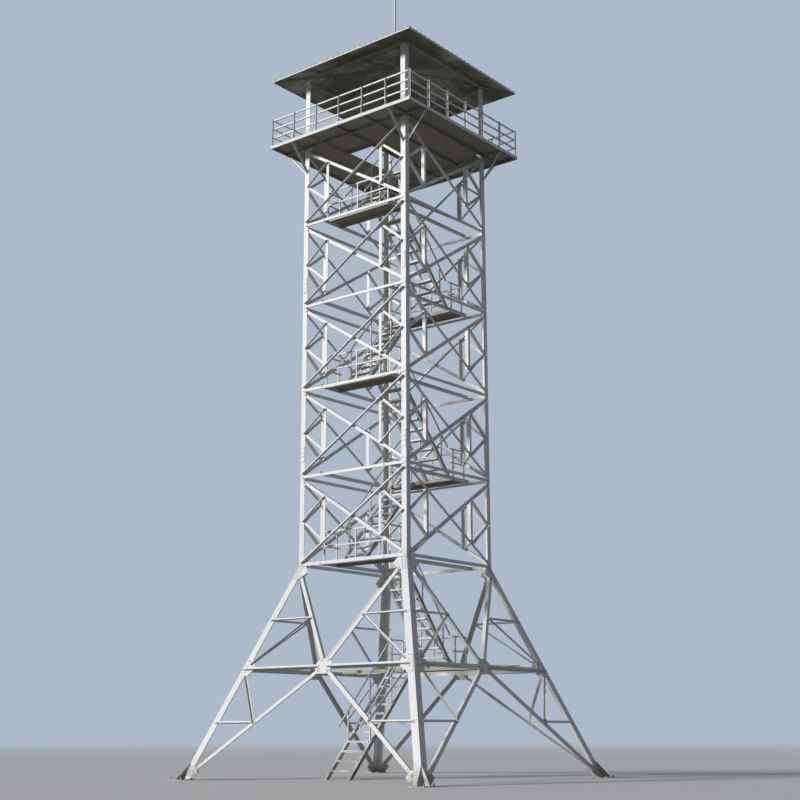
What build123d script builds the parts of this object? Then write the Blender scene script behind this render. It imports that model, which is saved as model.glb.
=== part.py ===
"""Open steel lattice lookout tower with a switchback stair, modelled in millimetres.

Origin on the ground at the centre of the four feet, +Z up. The front face looks along -Y and the
right face along +X. Every face is drawn once, for the front, and turned about Z for the others.
A face is drawn in its own frame: u runs to the right along the face, w runs up it and d points
outwards from the outer surface of the leg flanges.
"""
from build123d import *
from math import atan2, cos, hypot, radians, sin, sqrt, tan
import os

# Overall sizes
BASE_SIDE = 9700.0
SHAFT_SIDE = 4570.0
RING_Z = 3450.0
WAIST_Z = 6800.0
PANEL_HEIGHT = 3000.0
PANELS = 5
DECK_SIDE = 6310.0
EAVE_Z = 24310.0
ROOF_SIDE = 6280.0
ROOF_PITCH = 14.0

# Legs: rolled angles with the heel outwards
BASE_LEG = 250.0
BASE_LEG_T = 20.0
SHAFT_LEG = 200.0
SHAFT_LEG_T = 16.0

# Feet
FOOT_PLATE = 560.0
FOOT_PLATE_T = 25.0
FOOT_WING_HEIGHT = 520.0
FOOT_WING_TOP = 30.0
FOOT_WING_MARGIN = 15.0
FOOT_WING_T = 16.0
WELD_GAP = 2.0
ANCHOR_SPACING = 440.0
ANCHOR_HOLE_R = 17.0

# Bracing of the splayed base
GUSSET_T = 12.0
BASE_DIAGONAL = 120.0
BASE_DIAGONAL_LIP = 140.0
BASE_DIAGONAL_T = 12.0
RING_ANGLE = 110.0
RING_ANGLE_T = 10.0
REDUNDANT = 75.0
REDUNDANT_T = 8.0
PACKER = 120.0
NODE_TRIM = 200.0
DIAGONAL_TRIM = 170.0
LEG_CLEARANCE = 5.0
LEG_NODE_TRIM = 260.0
CENTRE_GUSSET_W = 640.0
CENTRE_GUSSET_TOP_W = 300.0
CENTRE_GUSSET_FOOT_W = 360.0
CENTRE_GUSSET_H = 500.0
CENTRE_GUSSET_BELLY = 110.0
LEG_GUSSET_TOP_W = 320.0
LEG_GUSSET_MID_W = 560.0
LEG_GUSSET_LOW_W = 350.0
RING_GUSSET_H = 620.0
WAIST_GUSSET_H = 440.0
FOOT_GUSSET_TOP = 420.0
WAIST_DIAGONAL_DROP = 210.0
FOOT_DIAGONAL_Z = 90.0

# Bracing of the shaft
WAIST_ANGLE = 110.0
LEVEL_ANGLE = 100.0
LEVEL_LIP = 40.0
SHAFT_DIAGONAL = 100.0
SHAFT_ANGLE_T = 8.0
DIAGONAL_SETBACK = 130.0
K_SHARE = 0.45
K_BAR = 80.0
K_BAR_T = 6.0
K_POST = 110.0
NODE_PLATE_W = 170.0
NODE_PLATE_REACH = 190.0

# Stair
STAIR_HALF = 1400.0
FLIGHT_WIDTH = 1060.0
LANE_MARGIN = 90.0
LANDING_INNER = 1300.0
LANDING_OUTER = 2080.0
FIRST_FOOT_Y = -1950.0
LANDING_BEAM = 120.0
LANDING_BEAM_FLANGE = 55.0
BEAM_T = 6.0
PLATE_T = 6.0
RISER = 300.0
TREAD_DEPTH = 230.0
TREAD_LIP = 60.0
STRINGER = 125.0
STRINGER_FLANGE = 90.0
STRINGER_T = 8.0
RAIL = 42.0
LANDING_RAIL_INSET = 45.0
LANDING_POST_SETBACK = 150.0
HANDRAIL_HEIGHT = 1000.0
MID_RAIL_HEIGHT = 520.0
FLIGHT_RAIL_HEIGHT = 1075.0
FIRST_RAIL_SETBACK = 500.0
RAIL_POST_PITCH = 1090.0
RAIL_POST_INSET = 60.0
RAIL_POSTS = 3

# Deck
DECK_BEAM = 110.0
DECK_BEAM_FLANGE = 60.0
DECK_BEAM_T = 7.0
DECK_PLATE_T = 6.0
DECK_JOINT = 4.0
BEAM_CLEARANCE = 2.0
HATCH_FRONT_Y = -1050.0
HATCH_MARGIN = 60.0
LEG_NOTCH = 12.0
KNEE_DROP = 900.0
KNEE_ANGLE = 65.0
KNEE_T = 6.0

# Railing
RAILING_HEIGHT = 1000.0
RAILING_BAYS = 6
RAILING_POST = 55.0
RAILING_RAIL = 45.0
RAILING_T = 5.0
RAILING_RAILS = 3

# Roof and rod
ROOF_SHEET_T = 20.0
EAVE_ANGLE = 45.0
RAFTER = 60.0
RAFTER_T = 6.0
ROOF_RING_ANGLE = 80.0
ROOF_RING_T = 8.0
CAP_SIDE = 420.0
CAP_T = 12.0
RAFTER_TOP_GAP = 150.0
HIP_FOOT_GAP = 140.0
ROD_R = 44.0
ROD_TIP_R = 14.0
ROD_POINT_R = 5.0
ROD_HEIGHT = 2850.0
ROD_TIP_HEIGHT = 500.0
ROD_COLLAR_R = 95.0
ROD_COLLAR_H = 110.0

# Sizes worked out from those above
BASE_HALF = BASE_SIDE / 2
SHAFT_HALF = SHAFT_SIDE / 2
DECK_HALF = DECK_SIDE / 2
ROOF_HALF = ROOF_SIDE / 2
HANDRAIL_INSET = STRINGER_FLANGE - RAIL / 2
DECK_Z = WAIST_Z + PANELS * PANEL_HEIGHT
DECK_BEAM_TOP = DECK_Z - DECK_PLATE_T
DECK_BEAM_BOTTOM = DECK_BEAM_TOP - DECK_BEAM
BASE_SLOPE_LENGTH = hypot(BASE_HALF - SHAFT_HALF, WAIST_Z)
LEAN_COS = WAIST_Z / BASE_SLOPE_LENGTH
LEAN_SIN = (BASE_HALF - SHAFT_HALF) / BASE_SLOPE_LENGTH
HEEL_COS = BASE_SLOPE_LENGTH / hypot(BASE_SLOPE_LENGTH, BASE_HALF - SHAFT_HALF)
DIHEDRAL_COT = LEAN_SIN ** 2 / sqrt(1 - LEAN_SIN ** 4)
ROOF_PITCH_TAN = tan(radians(ROOF_PITCH))
ROOF_PITCH_COS = cos(radians(ROOF_PITCH))
ROOF_PITCH_SIN = sin(radians(ROOF_PITCH))
ROOF_LIFT = ROOF_SHEET_T / ROOF_PITCH_COS
LEG_TOP_Z = EAVE_Z + (ROOF_HALF - SHAFT_HALF - ROOF_RING_T) * ROOF_PITCH_TAN - RAFTER / ROOF_PITCH_COS
APEX_Z = EAVE_Z + ROOF_HALF * ROOF_PITCH_TAN
FACES = ("front", "right", "back", "left")
CORNERS = ("front_left", "front_right", "back_right", "back_left")
FAR = 20000.0

BASE_FACE = Plane(origin=(0, -BASE_HALF, 0), x_dir=(1, 0, 0), z_dir=(0, -LEAN_COS, LEAN_SIN))
SHAFT_FACE = Plane(origin=(0, -SHAFT_HALF, 0), x_dir=(1, 0, 0), z_dir=(0, -1, 0))


def fused(solids):
    """Join solids that touch or cross into one."""
    first, *rest = solids
    return whole(first.fuse(*rest).clean()) if rest else first


def whole(shape):
    """The one solid that a boolean operation leaves."""
    solids = list(shape.solids())
    assert len(solids) == 1, f"{len(solids)} solids where one was meant"
    return solids[0]


def kept(shape, region):
    """The part of a solid that lies inside a region."""
    return whole(shape.intersect(region))


def cut(shape, *tools):
    """A solid less one or more others."""
    return whole(shape.cut(*tools))


def turned(shape, quarter_turns):
    """A copy turned about the tower's axis by quarter turns."""
    return shape.rotate(Axis.Z, 90 * quarter_turns)


def box(low, high):
    """An upright box between two corners."""
    size = [b - a for a, b in zip(low, high)]
    centre = [(a + b) / 2 for a, b in zip(low, high)]
    return (Pos(*centre) * Box(*size)).solid()


def prism(points, sweep):
    """The polygon through points, swept along a vector."""
    return Solid.extrude(Face(Wire.make_polygon(points, close=True)), Vector(*sweep))


def plate(frame, outline, d_low, d_high):
    """A flat plate drawn on a face frame between two depths."""
    points = [frame.from_local_coords(Vector(u, w, d_low)) for u, w in outline]
    return prism(points, frame.z_dir * (d_high - d_low))


def bar(frame, start, end, section):
    """A straight bar on a face frame; section lists (across, depth) points, across to the left."""
    run = Vector(end[0] - start[0], end[1] - start[1], 0)
    along = run.normalized()
    across = Vector(-along.Y, along.X, 0)
    points = []
    for c, d in section:
        local = Vector(start[0], start[1], 0) + across * c + Vector(0, 0, d)
        points.append(frame.from_local_coords(local))
    sweep = frame.from_local_coords(run) - frame.from_local_coords(Vector(0, 0, 0))
    return prism(points, sweep)


def angle_section(leg, thick, seat, outwards=True, lip_left=False, lip=None, lip_thick=None):
    """Section of an angle whose flange lies flat on the depth seat, its lip standing off it."""
    sign = 1 if outwards else -1
    lip = lip or leg
    lip_thick = lip_thick or thick
    half = leg / 2
    points = [
        (-half, seat), (half, seat), (half, seat + sign * thick),
        (-half + lip_thick, seat + sign * thick), (-half + lip_thick, seat + sign * lip),
        (-half, seat + sign * lip),
    ]
    return [(-c, d) for c, d in points] if lip_left else points


def shortened(start, end, at_start, at_end):
    """The line between two points, cut back at both ends."""
    run = Vector(end[0] - start[0], end[1] - start[1])
    step = run.normalized()
    a = Vector(*start) + step * at_start
    b = Vector(*end) - step * at_end
    return (a.X, a.Y), (b.X, b.Y)


def between(a, b, share):
    """The point a share of the way from a to b on a face."""
    return (a[0] + (b[0] - a[0]) * share, a[1] + (b[1] - a[1]) * share)


def midpoint(a, b):
    """Halfway between two points of a face."""
    return between(a, b, 0.5)


def heel_u(w):
    """Half width of a splayed face at the height w along it."""
    return BASE_HALF - LEAN_SIN * w


def leg_line(z):
    """The point of a splayed face on the middle of its right leg flange at height z."""
    w = z / LEAN_COS
    return (heel_u(w) - BASE_LEG / 2 / HEEL_COS, w)


def base_leg():
    """The splayed leg of the front left corner: two flanges that lie in the two leaning faces."""
    flange = BASE_LEG / HEEL_COS
    low, high = -BASE_LEG, BASE_SLOPE_LENGTH + BASE_LEG
    strip = [(heel_u(low), low), (heel_u(high), high), (heel_u(high) - flange, high),
             (heel_u(low) - flange, low)]
    left_face = plate(BASE_FACE, strip, -BASE_LEG_T, 0)
    front_face = plate(BASE_FACE, [(-u, w) for u, w in strip], -BASE_LEG_T, 0)
    both = fused([front_face, turned(left_face, 3)])
    keep = box((-FAR, -FAR, FOOT_PLATE_T), (FAR, FAR, WAIST_Z))
    return kept(both, keep)


def shaft_leg():
    """The upright leg of the front left corner, from the waist to the underside of the roof."""
    h, inner = SHAFT_HALF, SHAFT_HALF - SHAFT_LEG
    skin = SHAFT_HALF - SHAFT_LEG_T
    outline = [(-h, -h), (-inner, -h), (-inner, -skin), (-skin, -skin), (-skin, -inner), (-h, -inner)]
    return prism([(x, y, WAIST_Z) for x, y in outline], (0, 0, LEG_TOP_Z - WAIST_Z))


def foot():
    """Base plate and two wing plates that run on outwards from the flanges of the front left leg."""
    centre = -BASE_HALF
    half = FOOT_PLATE / 2
    low, high = FOOT_PLATE_T / 2, FOOT_WING_HEIGHT / LEAN_COS
    foot_reach = half - FOOT_WING_MARGIN
    seat = FOOT_WING_T * DIHEDRAL_COT / HEEL_COS
    wing = [(heel_u(low) + seat, low), (heel_u(high) + seat, high), (heel_u(high) + FOOT_WING_TOP, high),
            (BASE_HALF + foot_reach, FOOT_PLATE_T), (BASE_HALF + foot_reach, low)]
    front_wing = plate(BASE_FACE, [(-u, w) for u, w in wing], -FOOT_WING_T, 0)
    left_wing = turned(plate(BASE_FACE, wing, -FOOT_WING_T, 0), 3)
    base = box((centre - half, centre - half, 0), (centre + half, centre + half, FOOT_PLATE_T))
    holes = []
    for sx in (-1, 1):
        for sy in (-1, 1):
            x, y = centre + sx * ANCHOR_SPACING / 2, centre + sy * ANCHOR_SPACING / 2
            holes.append((Pos(x, y, FOOT_PLATE_T / 2) * Cylinder(ANCHOR_HOLE_R, FOOT_PLATE_T * 2)).solid())
    return cut(fused([base, front_wing, left_wing]), *holes)


def mirrored(point, side):
    """A point of a face on its right half, or on its left half where side is -1."""
    return (side * point[0], point[1])


def square(centre, side):
    """The corners of an upright square about a point of a face."""
    u, w = centre
    half = side / 2
    return [(u - half, w - half), (u + half, w - half), (u + half, w + half), (u - half, w + half)]


def leg_zone(side):
    """The space behind a splayed face that its leg takes, with a little clearance."""
    flange = BASE_LEG / HEEL_COS + LEG_CLEARANCE
    low, high = -BASE_LEG, BASE_SLOPE_LENGTH + BASE_LEG
    outline = [(heel_u(low) - flange, low), (FAR, low), (FAR, high), (heel_u(high) - flange, high)]
    return plate(BASE_FACE, [mirrored(point, side) for point in outline], -FAR, GUSSET_T)


def base_bracing():
    """The bars of the front splayed face: the large X behind the gussets, its redundants, the ring."""
    seat = GUSSET_T
    thin = angle_section(REDUNDANT, REDUNDANT_T, seat)
    centre = (0.0, RING_Z / LEAN_COS)
    waist_end = (SHAFT_HALF - SHAFT_LEG / 2, BASE_SLOPE_LENGTH - WAIST_DIAGONAL_DROP)
    solids = []
    for side in (-1, 1):
        section = angle_section(BASE_DIAGONAL, BASE_DIAGONAL_T, 0, outwards=False, lip_left=side > 0,
                                lip=BASE_DIAGONAL_LIP)
        ring = mirrored(leg_line(RING_Z), side)
        waist = mirrored(waist_end, side)
        foot_end = mirrored(leg_line(FOOT_DIAGONAL_Z), side)
        for end in (waist, foot_end):
            middle = midpoint(centre, end)
            on_leg = mirrored(leg_line(middle[1] * LEAN_COS), side)
            diagonal = bar(BASE_FACE, *shortened(centre, end, DIAGONAL_TRIM, 0), section)
            solids.append(fused([
                cut(diagonal, leg_zone(side)),
                bar(BASE_FACE, *sorted((middle, on_leg)), thin),
                bar(BASE_FACE, *sorted(shortened(middle, ring, 0, LEG_NODE_TRIM)), thin),
                plate(BASE_FACE, square(middle, PACKER), 0, GUSSET_T),
                plate(BASE_FACE, square(on_leg, PACKER), 0, GUSSET_T),
            ]))
        outer = angle_section(RING_ANGLE, RING_ANGLE_T, seat, lip_left=side < 0)
        inner = angle_section(RING_ANGLE, RING_ANGLE_T, 0, outwards=False, lip_left=side < 0)
        ring_inner_end = (ring[0] - side * (BASE_LEG / HEEL_COS + RING_ANGLE) / 2, ring[1])
        solids.append(bar(BASE_FACE, *shortened(centre, ring, NODE_TRIM, 0), outer))
        solids.append(bar(BASE_FACE, *shortened(centre, ring_inner_end, NODE_TRIM, 0), inner))
    return solids


def leg_gusset(low, high, side):
    """A gusset on a leg of the front splayed face between two heights along the face."""
    middle = (low + high) / 2
    inset = (FOOT_WING_T + WELD_GAP) / HEEL_COS
    heel_low, heel_mid, heel_high = (heel_u(w) - inset for w in (low, middle, high))
    outline = [(heel_low, low), (heel_high, high), (heel_high - LEG_GUSSET_TOP_W, high),
               (heel_mid - LEG_GUSSET_MID_W, middle), (heel_low - LEG_GUSSET_LOW_W, low)]
    return plate(BASE_FACE, [mirrored(point, side) for point in outline], 0, GUSSET_T)


def base_gussets():
    """The gusset plates of the front splayed face, flat on the outside of the leg flanges."""
    ring_w = RING_Z / LEAN_COS
    half = CENTRE_GUSSET_H / 2
    right_half = [(CENTRE_GUSSET_FOOT_W / 2, -half), (CENTRE_GUSSET_W / 2, -CENTRE_GUSSET_BELLY),
                  (CENTRE_GUSSET_W / 2, CENTRE_GUSSET_BELLY), (CENTRE_GUSSET_TOP_W / 2, half)]
    outline = right_half + [mirrored(point, -1) for point in reversed(right_half)]
    solids = [plate(BASE_FACE, [(u, w + ring_w) for u, w in outline], 0, GUSSET_T)]
    foot_low = FOOT_PLATE_T / LEAN_COS
    waist_high = BASE_SLOPE_LENGTH - GUSSET_T
    for side in (-1, 1):
        solids.append(leg_gusset(foot_low, FOOT_GUSSET_TOP / LEAN_COS, side))
        solids.append(leg_gusset(ring_w - RING_GUSSET_H / 2, ring_w + RING_GUSSET_H / 2, side))
        solids.append(leg_gusset(waist_high - WAIST_GUSSET_H, waist_high, side))
    return solids


def shaft_bracing(far_side):
    """The front lattice of the shaft, fused where its bars cross; the far sides have other lips."""
    node_u = SHAFT_HALF - SHAFT_LEG / 2
    skin = -SHAFT_LEG_T
    outer = angle_section(SHAFT_DIAGONAL, SHAFT_ANGLE_T, 0, lip_left=far_side)
    inner = angle_section(SHAFT_DIAGONAL, SHAFT_ANGLE_T, skin, outwards=False, lip_left=not far_side)
    k_outer = angle_section(K_BAR, K_BAR_T, 0)
    k_inner = angle_section(K_BAR, K_BAR_T, skin, outwards=False)
    k_post = angle_section(K_POST, SHAFT_LEG_T, 0, outwards=False, lip_left=far_side,
                           lip_thick=K_BAR_T, lip=K_POST + SHAFT_LEG_T)
    solids = []
    for panel in range(PANELS):
        low = WAIST_Z + panel * PANEL_HEIGHT
        high = min(low + PANEL_HEIGHT, DECK_BEAM_BOTTOM)
        leg = WAIST_ANGLE if panel == 0 else LEVEL_ANGLE
        level = low + leg / 2 if panel == 0 else low
        a_start, a_end = (-node_u, high - DIAGONAL_SETBACK), (node_u, low + DIAGONAL_SETBACK)
        b_start, b_end = (-node_u, low + DIAGONAL_SETBACK), (node_u, high - DIAGONAL_SETBACK)
        cross = midpoint(a_start, a_end)
        solids += [
            bar(SHAFT_FACE, (-node_u, level), (node_u, level),
                angle_section(leg, SHAFT_ANGLE_T, 0, lip=LEVEL_LIP)),
            bar(SHAFT_FACE, a_start, a_end, inner),
            bar(SHAFT_FACE, b_start, b_end, outer),
            plate(SHAFT_FACE, square(cross, SHAFT_DIAGONAL), skin, 0),
        ]
        plate_low = low if panel == 0 else low - NODE_PLATE_REACH
        for side in (-1, 1):
            left, right = side * node_u - NODE_PLATE_W / 2, side * node_u + NODE_PLATE_W / 2
            outline = [(left, plate_low), (right, plate_low), (right, low + NODE_PLATE_REACH),
                       (left, low + NODE_PLATE_REACH)]
            solids.append(plate(SHAFT_FACE, outline, 0, SHAFT_ANGLE_T))
        for a_near, b_near in ((a_start, b_start), (a_end, b_end)):
            leg_mid = midpoint(a_near, b_near)
            k_start = (leg_mid[0] * (1 - K_BAR / 2 / node_u), leg_mid[1])
            a_joint = between(a_near, cross, K_SHARE)
            b_joint = between(b_near, cross, K_SHARE)
            upper, lower = sorted((a_joint, b_joint), key=lambda point: -point[1])
            solids += [
                bar(SHAFT_FACE, *sorted((k_start, a_joint)), k_outer),
                bar(SHAFT_FACE, *sorted((k_start, b_joint)), k_inner),
                bar(SHAFT_FACE, upper, lower, k_post),
            ]
    return fused(solids)


def landing_levels():
    """Top of each landing, from the ring up to the last one below the deck."""
    levels = [RING_Z] + [WAIST_Z + i * PANEL_HEIGHT for i in range(PANELS)]
    return [z + LANDING_BEAM for z in levels]


def channel_x(x_low, x_high, y_web, z_low, depth, flange, thick, towards):
    """A channel along X with its web at y_web and its flanges towards +Y or -Y."""
    a, b = y_web, y_web + towards * flange
    c = y_web + towards * thick
    top = z_low + depth
    section = [(a, z_low), (b, z_low), (b, z_low + thick), (c, z_low + thick),
               (c, top - thick), (b, top - thick), (b, top), (a, top)]
    return prism([(x_low, y, z) for y, z in section], (x_high - x_low, 0, 0))


def channel_y(y_low, y_high, x_web, z_low, depth, flange, thick, towards):
    """A channel along Y with its web at x_web and its flanges towards +X or -X."""
    a, b = x_web, x_web + towards * flange
    c = x_web + towards * thick
    top = z_low + depth
    section = [(a, z_low), (b, z_low), (b, z_low + thick), (c, z_low + thick),
               (c, top - thick), (b, top - thick), (b, top), (a, top)]
    return prism([(x, y_low, z) for x, z in section], (0, y_high - y_low, 0))


def landing(index, top):
    """A front landing: plate on two cross channels between the side beams, or across the whole base."""
    low = top - LANDING_BEAM
    under_plate = LANDING_BEAM - PLATE_T
    reach = BASE_HALF if index == 0 else STAIR_HALF
    pieces = [
        channel_x(-reach, reach, -LANDING_INNER, low, under_plate, LANDING_BEAM_FLANGE, BEAM_T, -1),
        channel_x(-reach, reach, -LANDING_OUTER, low, under_plate, LANDING_BEAM_FLANGE, BEAM_T, 1),
        box((-STAIR_HALF, -LANDING_OUTER, top - PLATE_T), (STAIR_HALF, -LANDING_INNER, top)),
    ]
    body = fused(pieces)
    if index == 0:
        side_face = [(-FAR, -FAR), (FAR, -FAR), (FAR, FAR), (-FAR, FAR)]
        outside = plate(BASE_FACE, side_face, -RING_ANGLE_T, FAR)
        body = cut(body, turned(outside, 1), turned(outside, 3))
    return turned(body, 2) if index % 2 == 0 else body


def side_beams(index, top):
    """The channels along Y at both ends of a landing: in the base between its cross channels, in
    the shaft from the front face to the back face."""
    low, depth = top - LANDING_BEAM, LANDING_BEAM - PLATE_T
    if index == 0:
        y_low, y_high, towards = LANDING_INNER + LANDING_BEAM_FLANGE, LANDING_OUTER - LANDING_BEAM_FLANGE, -1
    else:
        y_low, y_high, towards = -SHAFT_HALF, SHAFT_HALF, 1
    beams = []
    for side in (-1, 1):
        size = (low, depth, LANDING_BEAM_FLANGE, BEAM_T, side * towards)
        beams.append(channel_y(y_low, y_high, side * STAIR_HALF, *size))
    return beams


def landing_rail(index, top):
    """Guard rails of a landing: one panel on its outer edge and one on each end."""
    inset = RAIL / 2
    y_out = -LANDING_OUTER + inset
    x_end = STAIR_HALF - LANDING_RAIL_INSET
    y_in = -LANDING_INNER - LANDING_POST_SETBACK
    rail_tops = [top + MID_RAIL_HEIGHT, top + HANDRAIL_HEIGHT]
    outer = [box((x - inset, y_out - inset, top), (x + inset, y_out + inset, top + HANDRAIL_HEIGHT))
             for x in (-x_end, 0, x_end)]
    outer += [box((-x_end, y_out - inset, z - RAIL), (x_end, y_out + inset, z)) for z in rail_tops]
    panels = [fused(outer)]
    for x in (-x_end, x_end):
        end = [box((x - inset, y_in - inset, top), (x + inset, y_in + inset, top + HANDRAIL_HEIGHT))]
        end += [box((x - inset, y_out + inset, z - RAIL), (x + inset, -LANDING_INNER, z)) for z in rail_tops]
        panels.append(fused(end))
    return [turned(panel, 2) for panel in panels] if index % 2 == 0 else panels


def flight_ends(index, tops):
    """Foot and head of a flight as (y, z) on the pitch line."""
    foot_z = 0.0 if index == 0 else tops[index - 1]
    head_z = tops[index] if index < len(tops) else DECK_Z
    rises_to_back = index % 2 == 0
    head_y = LANDING_INNER if rises_to_back else -LANDING_INNER
    foot_y = FIRST_FOOT_Y if index == 0 else -head_y
    return (foot_y, foot_z), (head_y, head_z)


def lane(index):
    """The x range of a flight: the left lane going back, the right lane coming forward."""
    outer = STAIR_HALF - LANE_MARGIN
    inner = outer - FLIGHT_WIDTH
    return (-outer, -inner) if index % 2 == 0 else (inner, outer)


def flight_side(foot_point, head_point, x_web, towards, handrail_x, rail_setback):
    """One stringer channel with its handrail and posts."""
    (y0, z0), (y1, z1) = foot_point, head_point
    run, rise = y1 - y0, z1 - z0
    pitch = atan2(rise, abs(run))
    direction = 1 if run > 0 else -1
    up = STRINGER / cos(pitch) / 2
    ahead = STRINGER / sin(pitch)

    def line(offset):
        """The stringer line raised by offset, from below the foot to past the head."""
        slope = rise / run
        a, b = y0 - direction * ahead, y1 + direction * ahead
        return (a, z0 + slope * (a - y0) + offset), (b, z0 + slope * (b - y0) + offset)

    def strip(low, high, x_low, x_high):
        """A slanting bar between two offsets from the stringer line."""
        (a0, b0), (a1, b1) = line(low), line(high)
        outline = [a0, b0, b1, a1]
        return prism([(x_low, y, z) for y, z in outline], (x_high - x_low, 0, 0))

    flange = STRINGER_T / cos(pitch)
    x_flange = x_web + towards * STRINGER_FLANGE
    x_inner = x_web + towards * STRINGER_T
    body = fused([
        strip(-up, up, min(x_web, x_inner), max(x_web, x_inner)),
        strip(up - flange, up, min(x_web, x_flange), max(x_web, x_flange)),
        strip(-up, flange - up, min(x_web, x_flange), max(x_web, x_flange)),
    ])
    y_head = y1
    y_foot = y0 - direction * ahead
    keep = box((-FAR, min(y_head, y_foot), z0), (FAR, max(y_head, y_foot), z1))
    body = kept(body, keep)
    rail_low, rail_high = handrail_x - RAIL / 2, handrail_x + RAIL / 2
    y_rail = y0 + direction * rail_setback
    reach = box((-FAR, min(y_rail, y1), z0), (FAR, max(y_rail, y1), z1 + FAR))
    handrail = strip(FLIGHT_RAIL_HEIGHT - RAIL / cos(pitch), FLIGHT_RAIL_HEIGHT, rail_low, rail_high)
    posts = []
    for step in range(RAIL_POSTS):
        y = y1 - direction * (RAIL_POST_INSET + step * RAIL_POST_PITCH)
        z = z0 + rise / run * (y - y0)
        z_top = z + FLIGHT_RAIL_HEIGHT - RAIL
        posts.append(box((rail_low, y - RAIL / 2, z), (rail_high, y + RAIL / 2, z_top)))
    return fused([body, kept(handrail, reach), *posts])


def flight(index, tops):
    """Both stringers of a flight with their rails, as two solids."""
    foot_point, head_point = flight_ends(index, tops)
    x_low, x_high = lane(index)
    setback = FIRST_RAIL_SETBACK if index == 0 else 0
    return [
        flight_side(foot_point, head_point, x_low + STRINGER_FLANGE, -1, x_low + HANDRAIL_INSET, setback),
        flight_side(foot_point, head_point, x_high - STRINGER_FLANGE, 1, x_high - HANDRAIL_INSET, setback),
    ]


def treads(index, tops):
    """The folded plate treads of a flight, between its stringers."""
    (y0, z0), (y1, z1) = flight_ends(index, tops)
    x_low, x_high = lane(index)
    steps = round((z1 - z0) / RISER)
    going, rise = (y1 - y0) / steps, (z1 - z0) / steps
    direction = 1 if y1 > y0 else -1
    solids = []
    for step in range(1, steps):
        top = z0 + step * rise
        nose = y0 + (step - 0.5) * going
        back = nose + direction * TREAD_DEPTH
        a, b = sorted((nose, back))
        section = [(a, top), (b, top), (b, top - TREAD_LIP), (b - PLATE_T, top - TREAD_LIP),
                   (b - PLATE_T, top - PLATE_T), (a + PLATE_T, top - PLATE_T),
                   (a + PLATE_T, top - TREAD_LIP), (a, top - TREAD_LIP)]
        left = x_low + STRINGER_FLANGE
        right = x_high - STRINGER_FLANGE
        solids.append(prism([(left, y, z) for y, z in section], (right - left, 0, 0)))
    return solids


def hatch():
    """The stair opening in the deck: low and high corners in x and y."""
    x_low, x_high = lane(len(landing_levels()))
    return (x_low - HATCH_MARGIN, HATCH_FRONT_Y), (x_high + HATCH_MARGIN, LANDING_INNER)


def deck_beams():
    """Edge and face beams along X, and joists along Y cut between them."""
    low = DECK_BEAM_BOTTOM
    size = (low, DECK_BEAM, DECK_BEAM_FLANGE, DECK_BEAM_T)
    h, s = DECK_HALF, SHAFT_HALF
    (hatch_left, hatch_front), (hatch_right, hatch_back) = hatch()
    solids = []
    for side in (-1, 1):
        solids.append(channel_x(-h, h, side * h, *size, -side))
        solids.append(channel_x(-h, h, side * s, *size, side))
    inner_lines = [-s, hatch_left, hatch_right, (hatch_right + s) / 2, s]
    towards = [-1, -1, 1, 1, 1]
    clear = BEAM_CLEARANCE
    for x, side in zip(inner_lines, towards):
        middle = (-s + clear, s - clear)
        solids.append(channel_y(*middle, x, *size, side))
    for x, side in zip([-h, *inner_lines, h], [1, *towards, -1]):
        outer_low, outer_high = s + DECK_BEAM_FLANGE + clear, h - DECK_BEAM_FLANGE - clear
        solids.append(channel_y(outer_low, outer_high, x, *size, side))
        solids.append(channel_y(-outer_high, -outer_low, x, *size, side))
    for side in (-1, 1):
        solids.append(channel_y(-s - DECK_BEAM_FLANGE, s + DECK_BEAM_FLANGE, side * h, *size, -side))
    for y, side in ((hatch_front, -1), (hatch_back, 1)):
        solids.append(channel_x(hatch_left + clear, hatch_right - clear, y, *size, side))
    return solids


def deck_floor():
    """Floor plates around the stair hatch, notched round the legs."""
    (x0, y0), (x1, y1) = hatch()
    h, gap = DECK_HALF, DECK_JOINT / 2
    low, high = DECK_BEAM_TOP, DECK_Z
    inner = SHAFT_HALF - SHAFT_LEG - LEG_NOTCH
    outer = SHAFT_HALF + LEG_NOTCH
    panels = [
        ((-h, -h), (x0 - gap, h)),
        ((x0 + gap, -h), (x1 - gap, y0 - gap)),
        ((x0 + gap, y1 + gap), (x1 - gap, h)),
        ((x1 + gap, -h), (h, -gap)),
        ((x1 + gap, gap), (h, h)),
    ]
    solids = []
    for (a, b), (c, d) in panels:
        panel = box((a, b, low), (c, d, high))
        for sx in (-1, 1):
            for sy in (-1, 1):
                xs = sorted((sx * inner, sx * outer))
                ys = sorted((sy * inner, sy * outer))
                if a < xs[0] and c > xs[1] and b < ys[0] and d > ys[1]:
                    panel = cut(panel, box((xs[0], ys[0], low - 1), (xs[1], ys[1], high + 1)))
        solids.append(panel)
    return solids


def knee_braces():
    """Braces from the front of the two front legs out to the deck's edge beam."""
    bottom = DECK_BEAM_BOTTOM - KNEE_DROP
    solids = []
    for side in (-1, 1):
        x = side * (SHAFT_HALF - SHAFT_LEG / 2)
        low_point = (-SHAFT_HALF, bottom)
        high_point = (-DECK_HALF + DECK_BEAM_FLANGE, DECK_BEAM_BOTTOM)
        run = Vector(high_point[0] - low_point[0], high_point[1] - low_point[1])
        side_frame = Plane(origin=(x, 0, 0), x_dir=(0, 1, 0), z_dir=(1, 0, 0))
        step = run.normalized() * KNEE_ANGLE * 2
        start = (low_point[0] - step.X, low_point[1] - step.Y)
        end = (high_point[0] + step.X, high_point[1] + step.Y)
        brace = bar(side_frame, start, end, angle_section(KNEE_ANGLE, KNEE_T, 0))
        keep = box((-FAR, -DECK_HALF, 0), (FAR, -SHAFT_HALF, DECK_BEAM_BOTTOM))
        solids.append(kept(brace, keep))
    return solids


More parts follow.
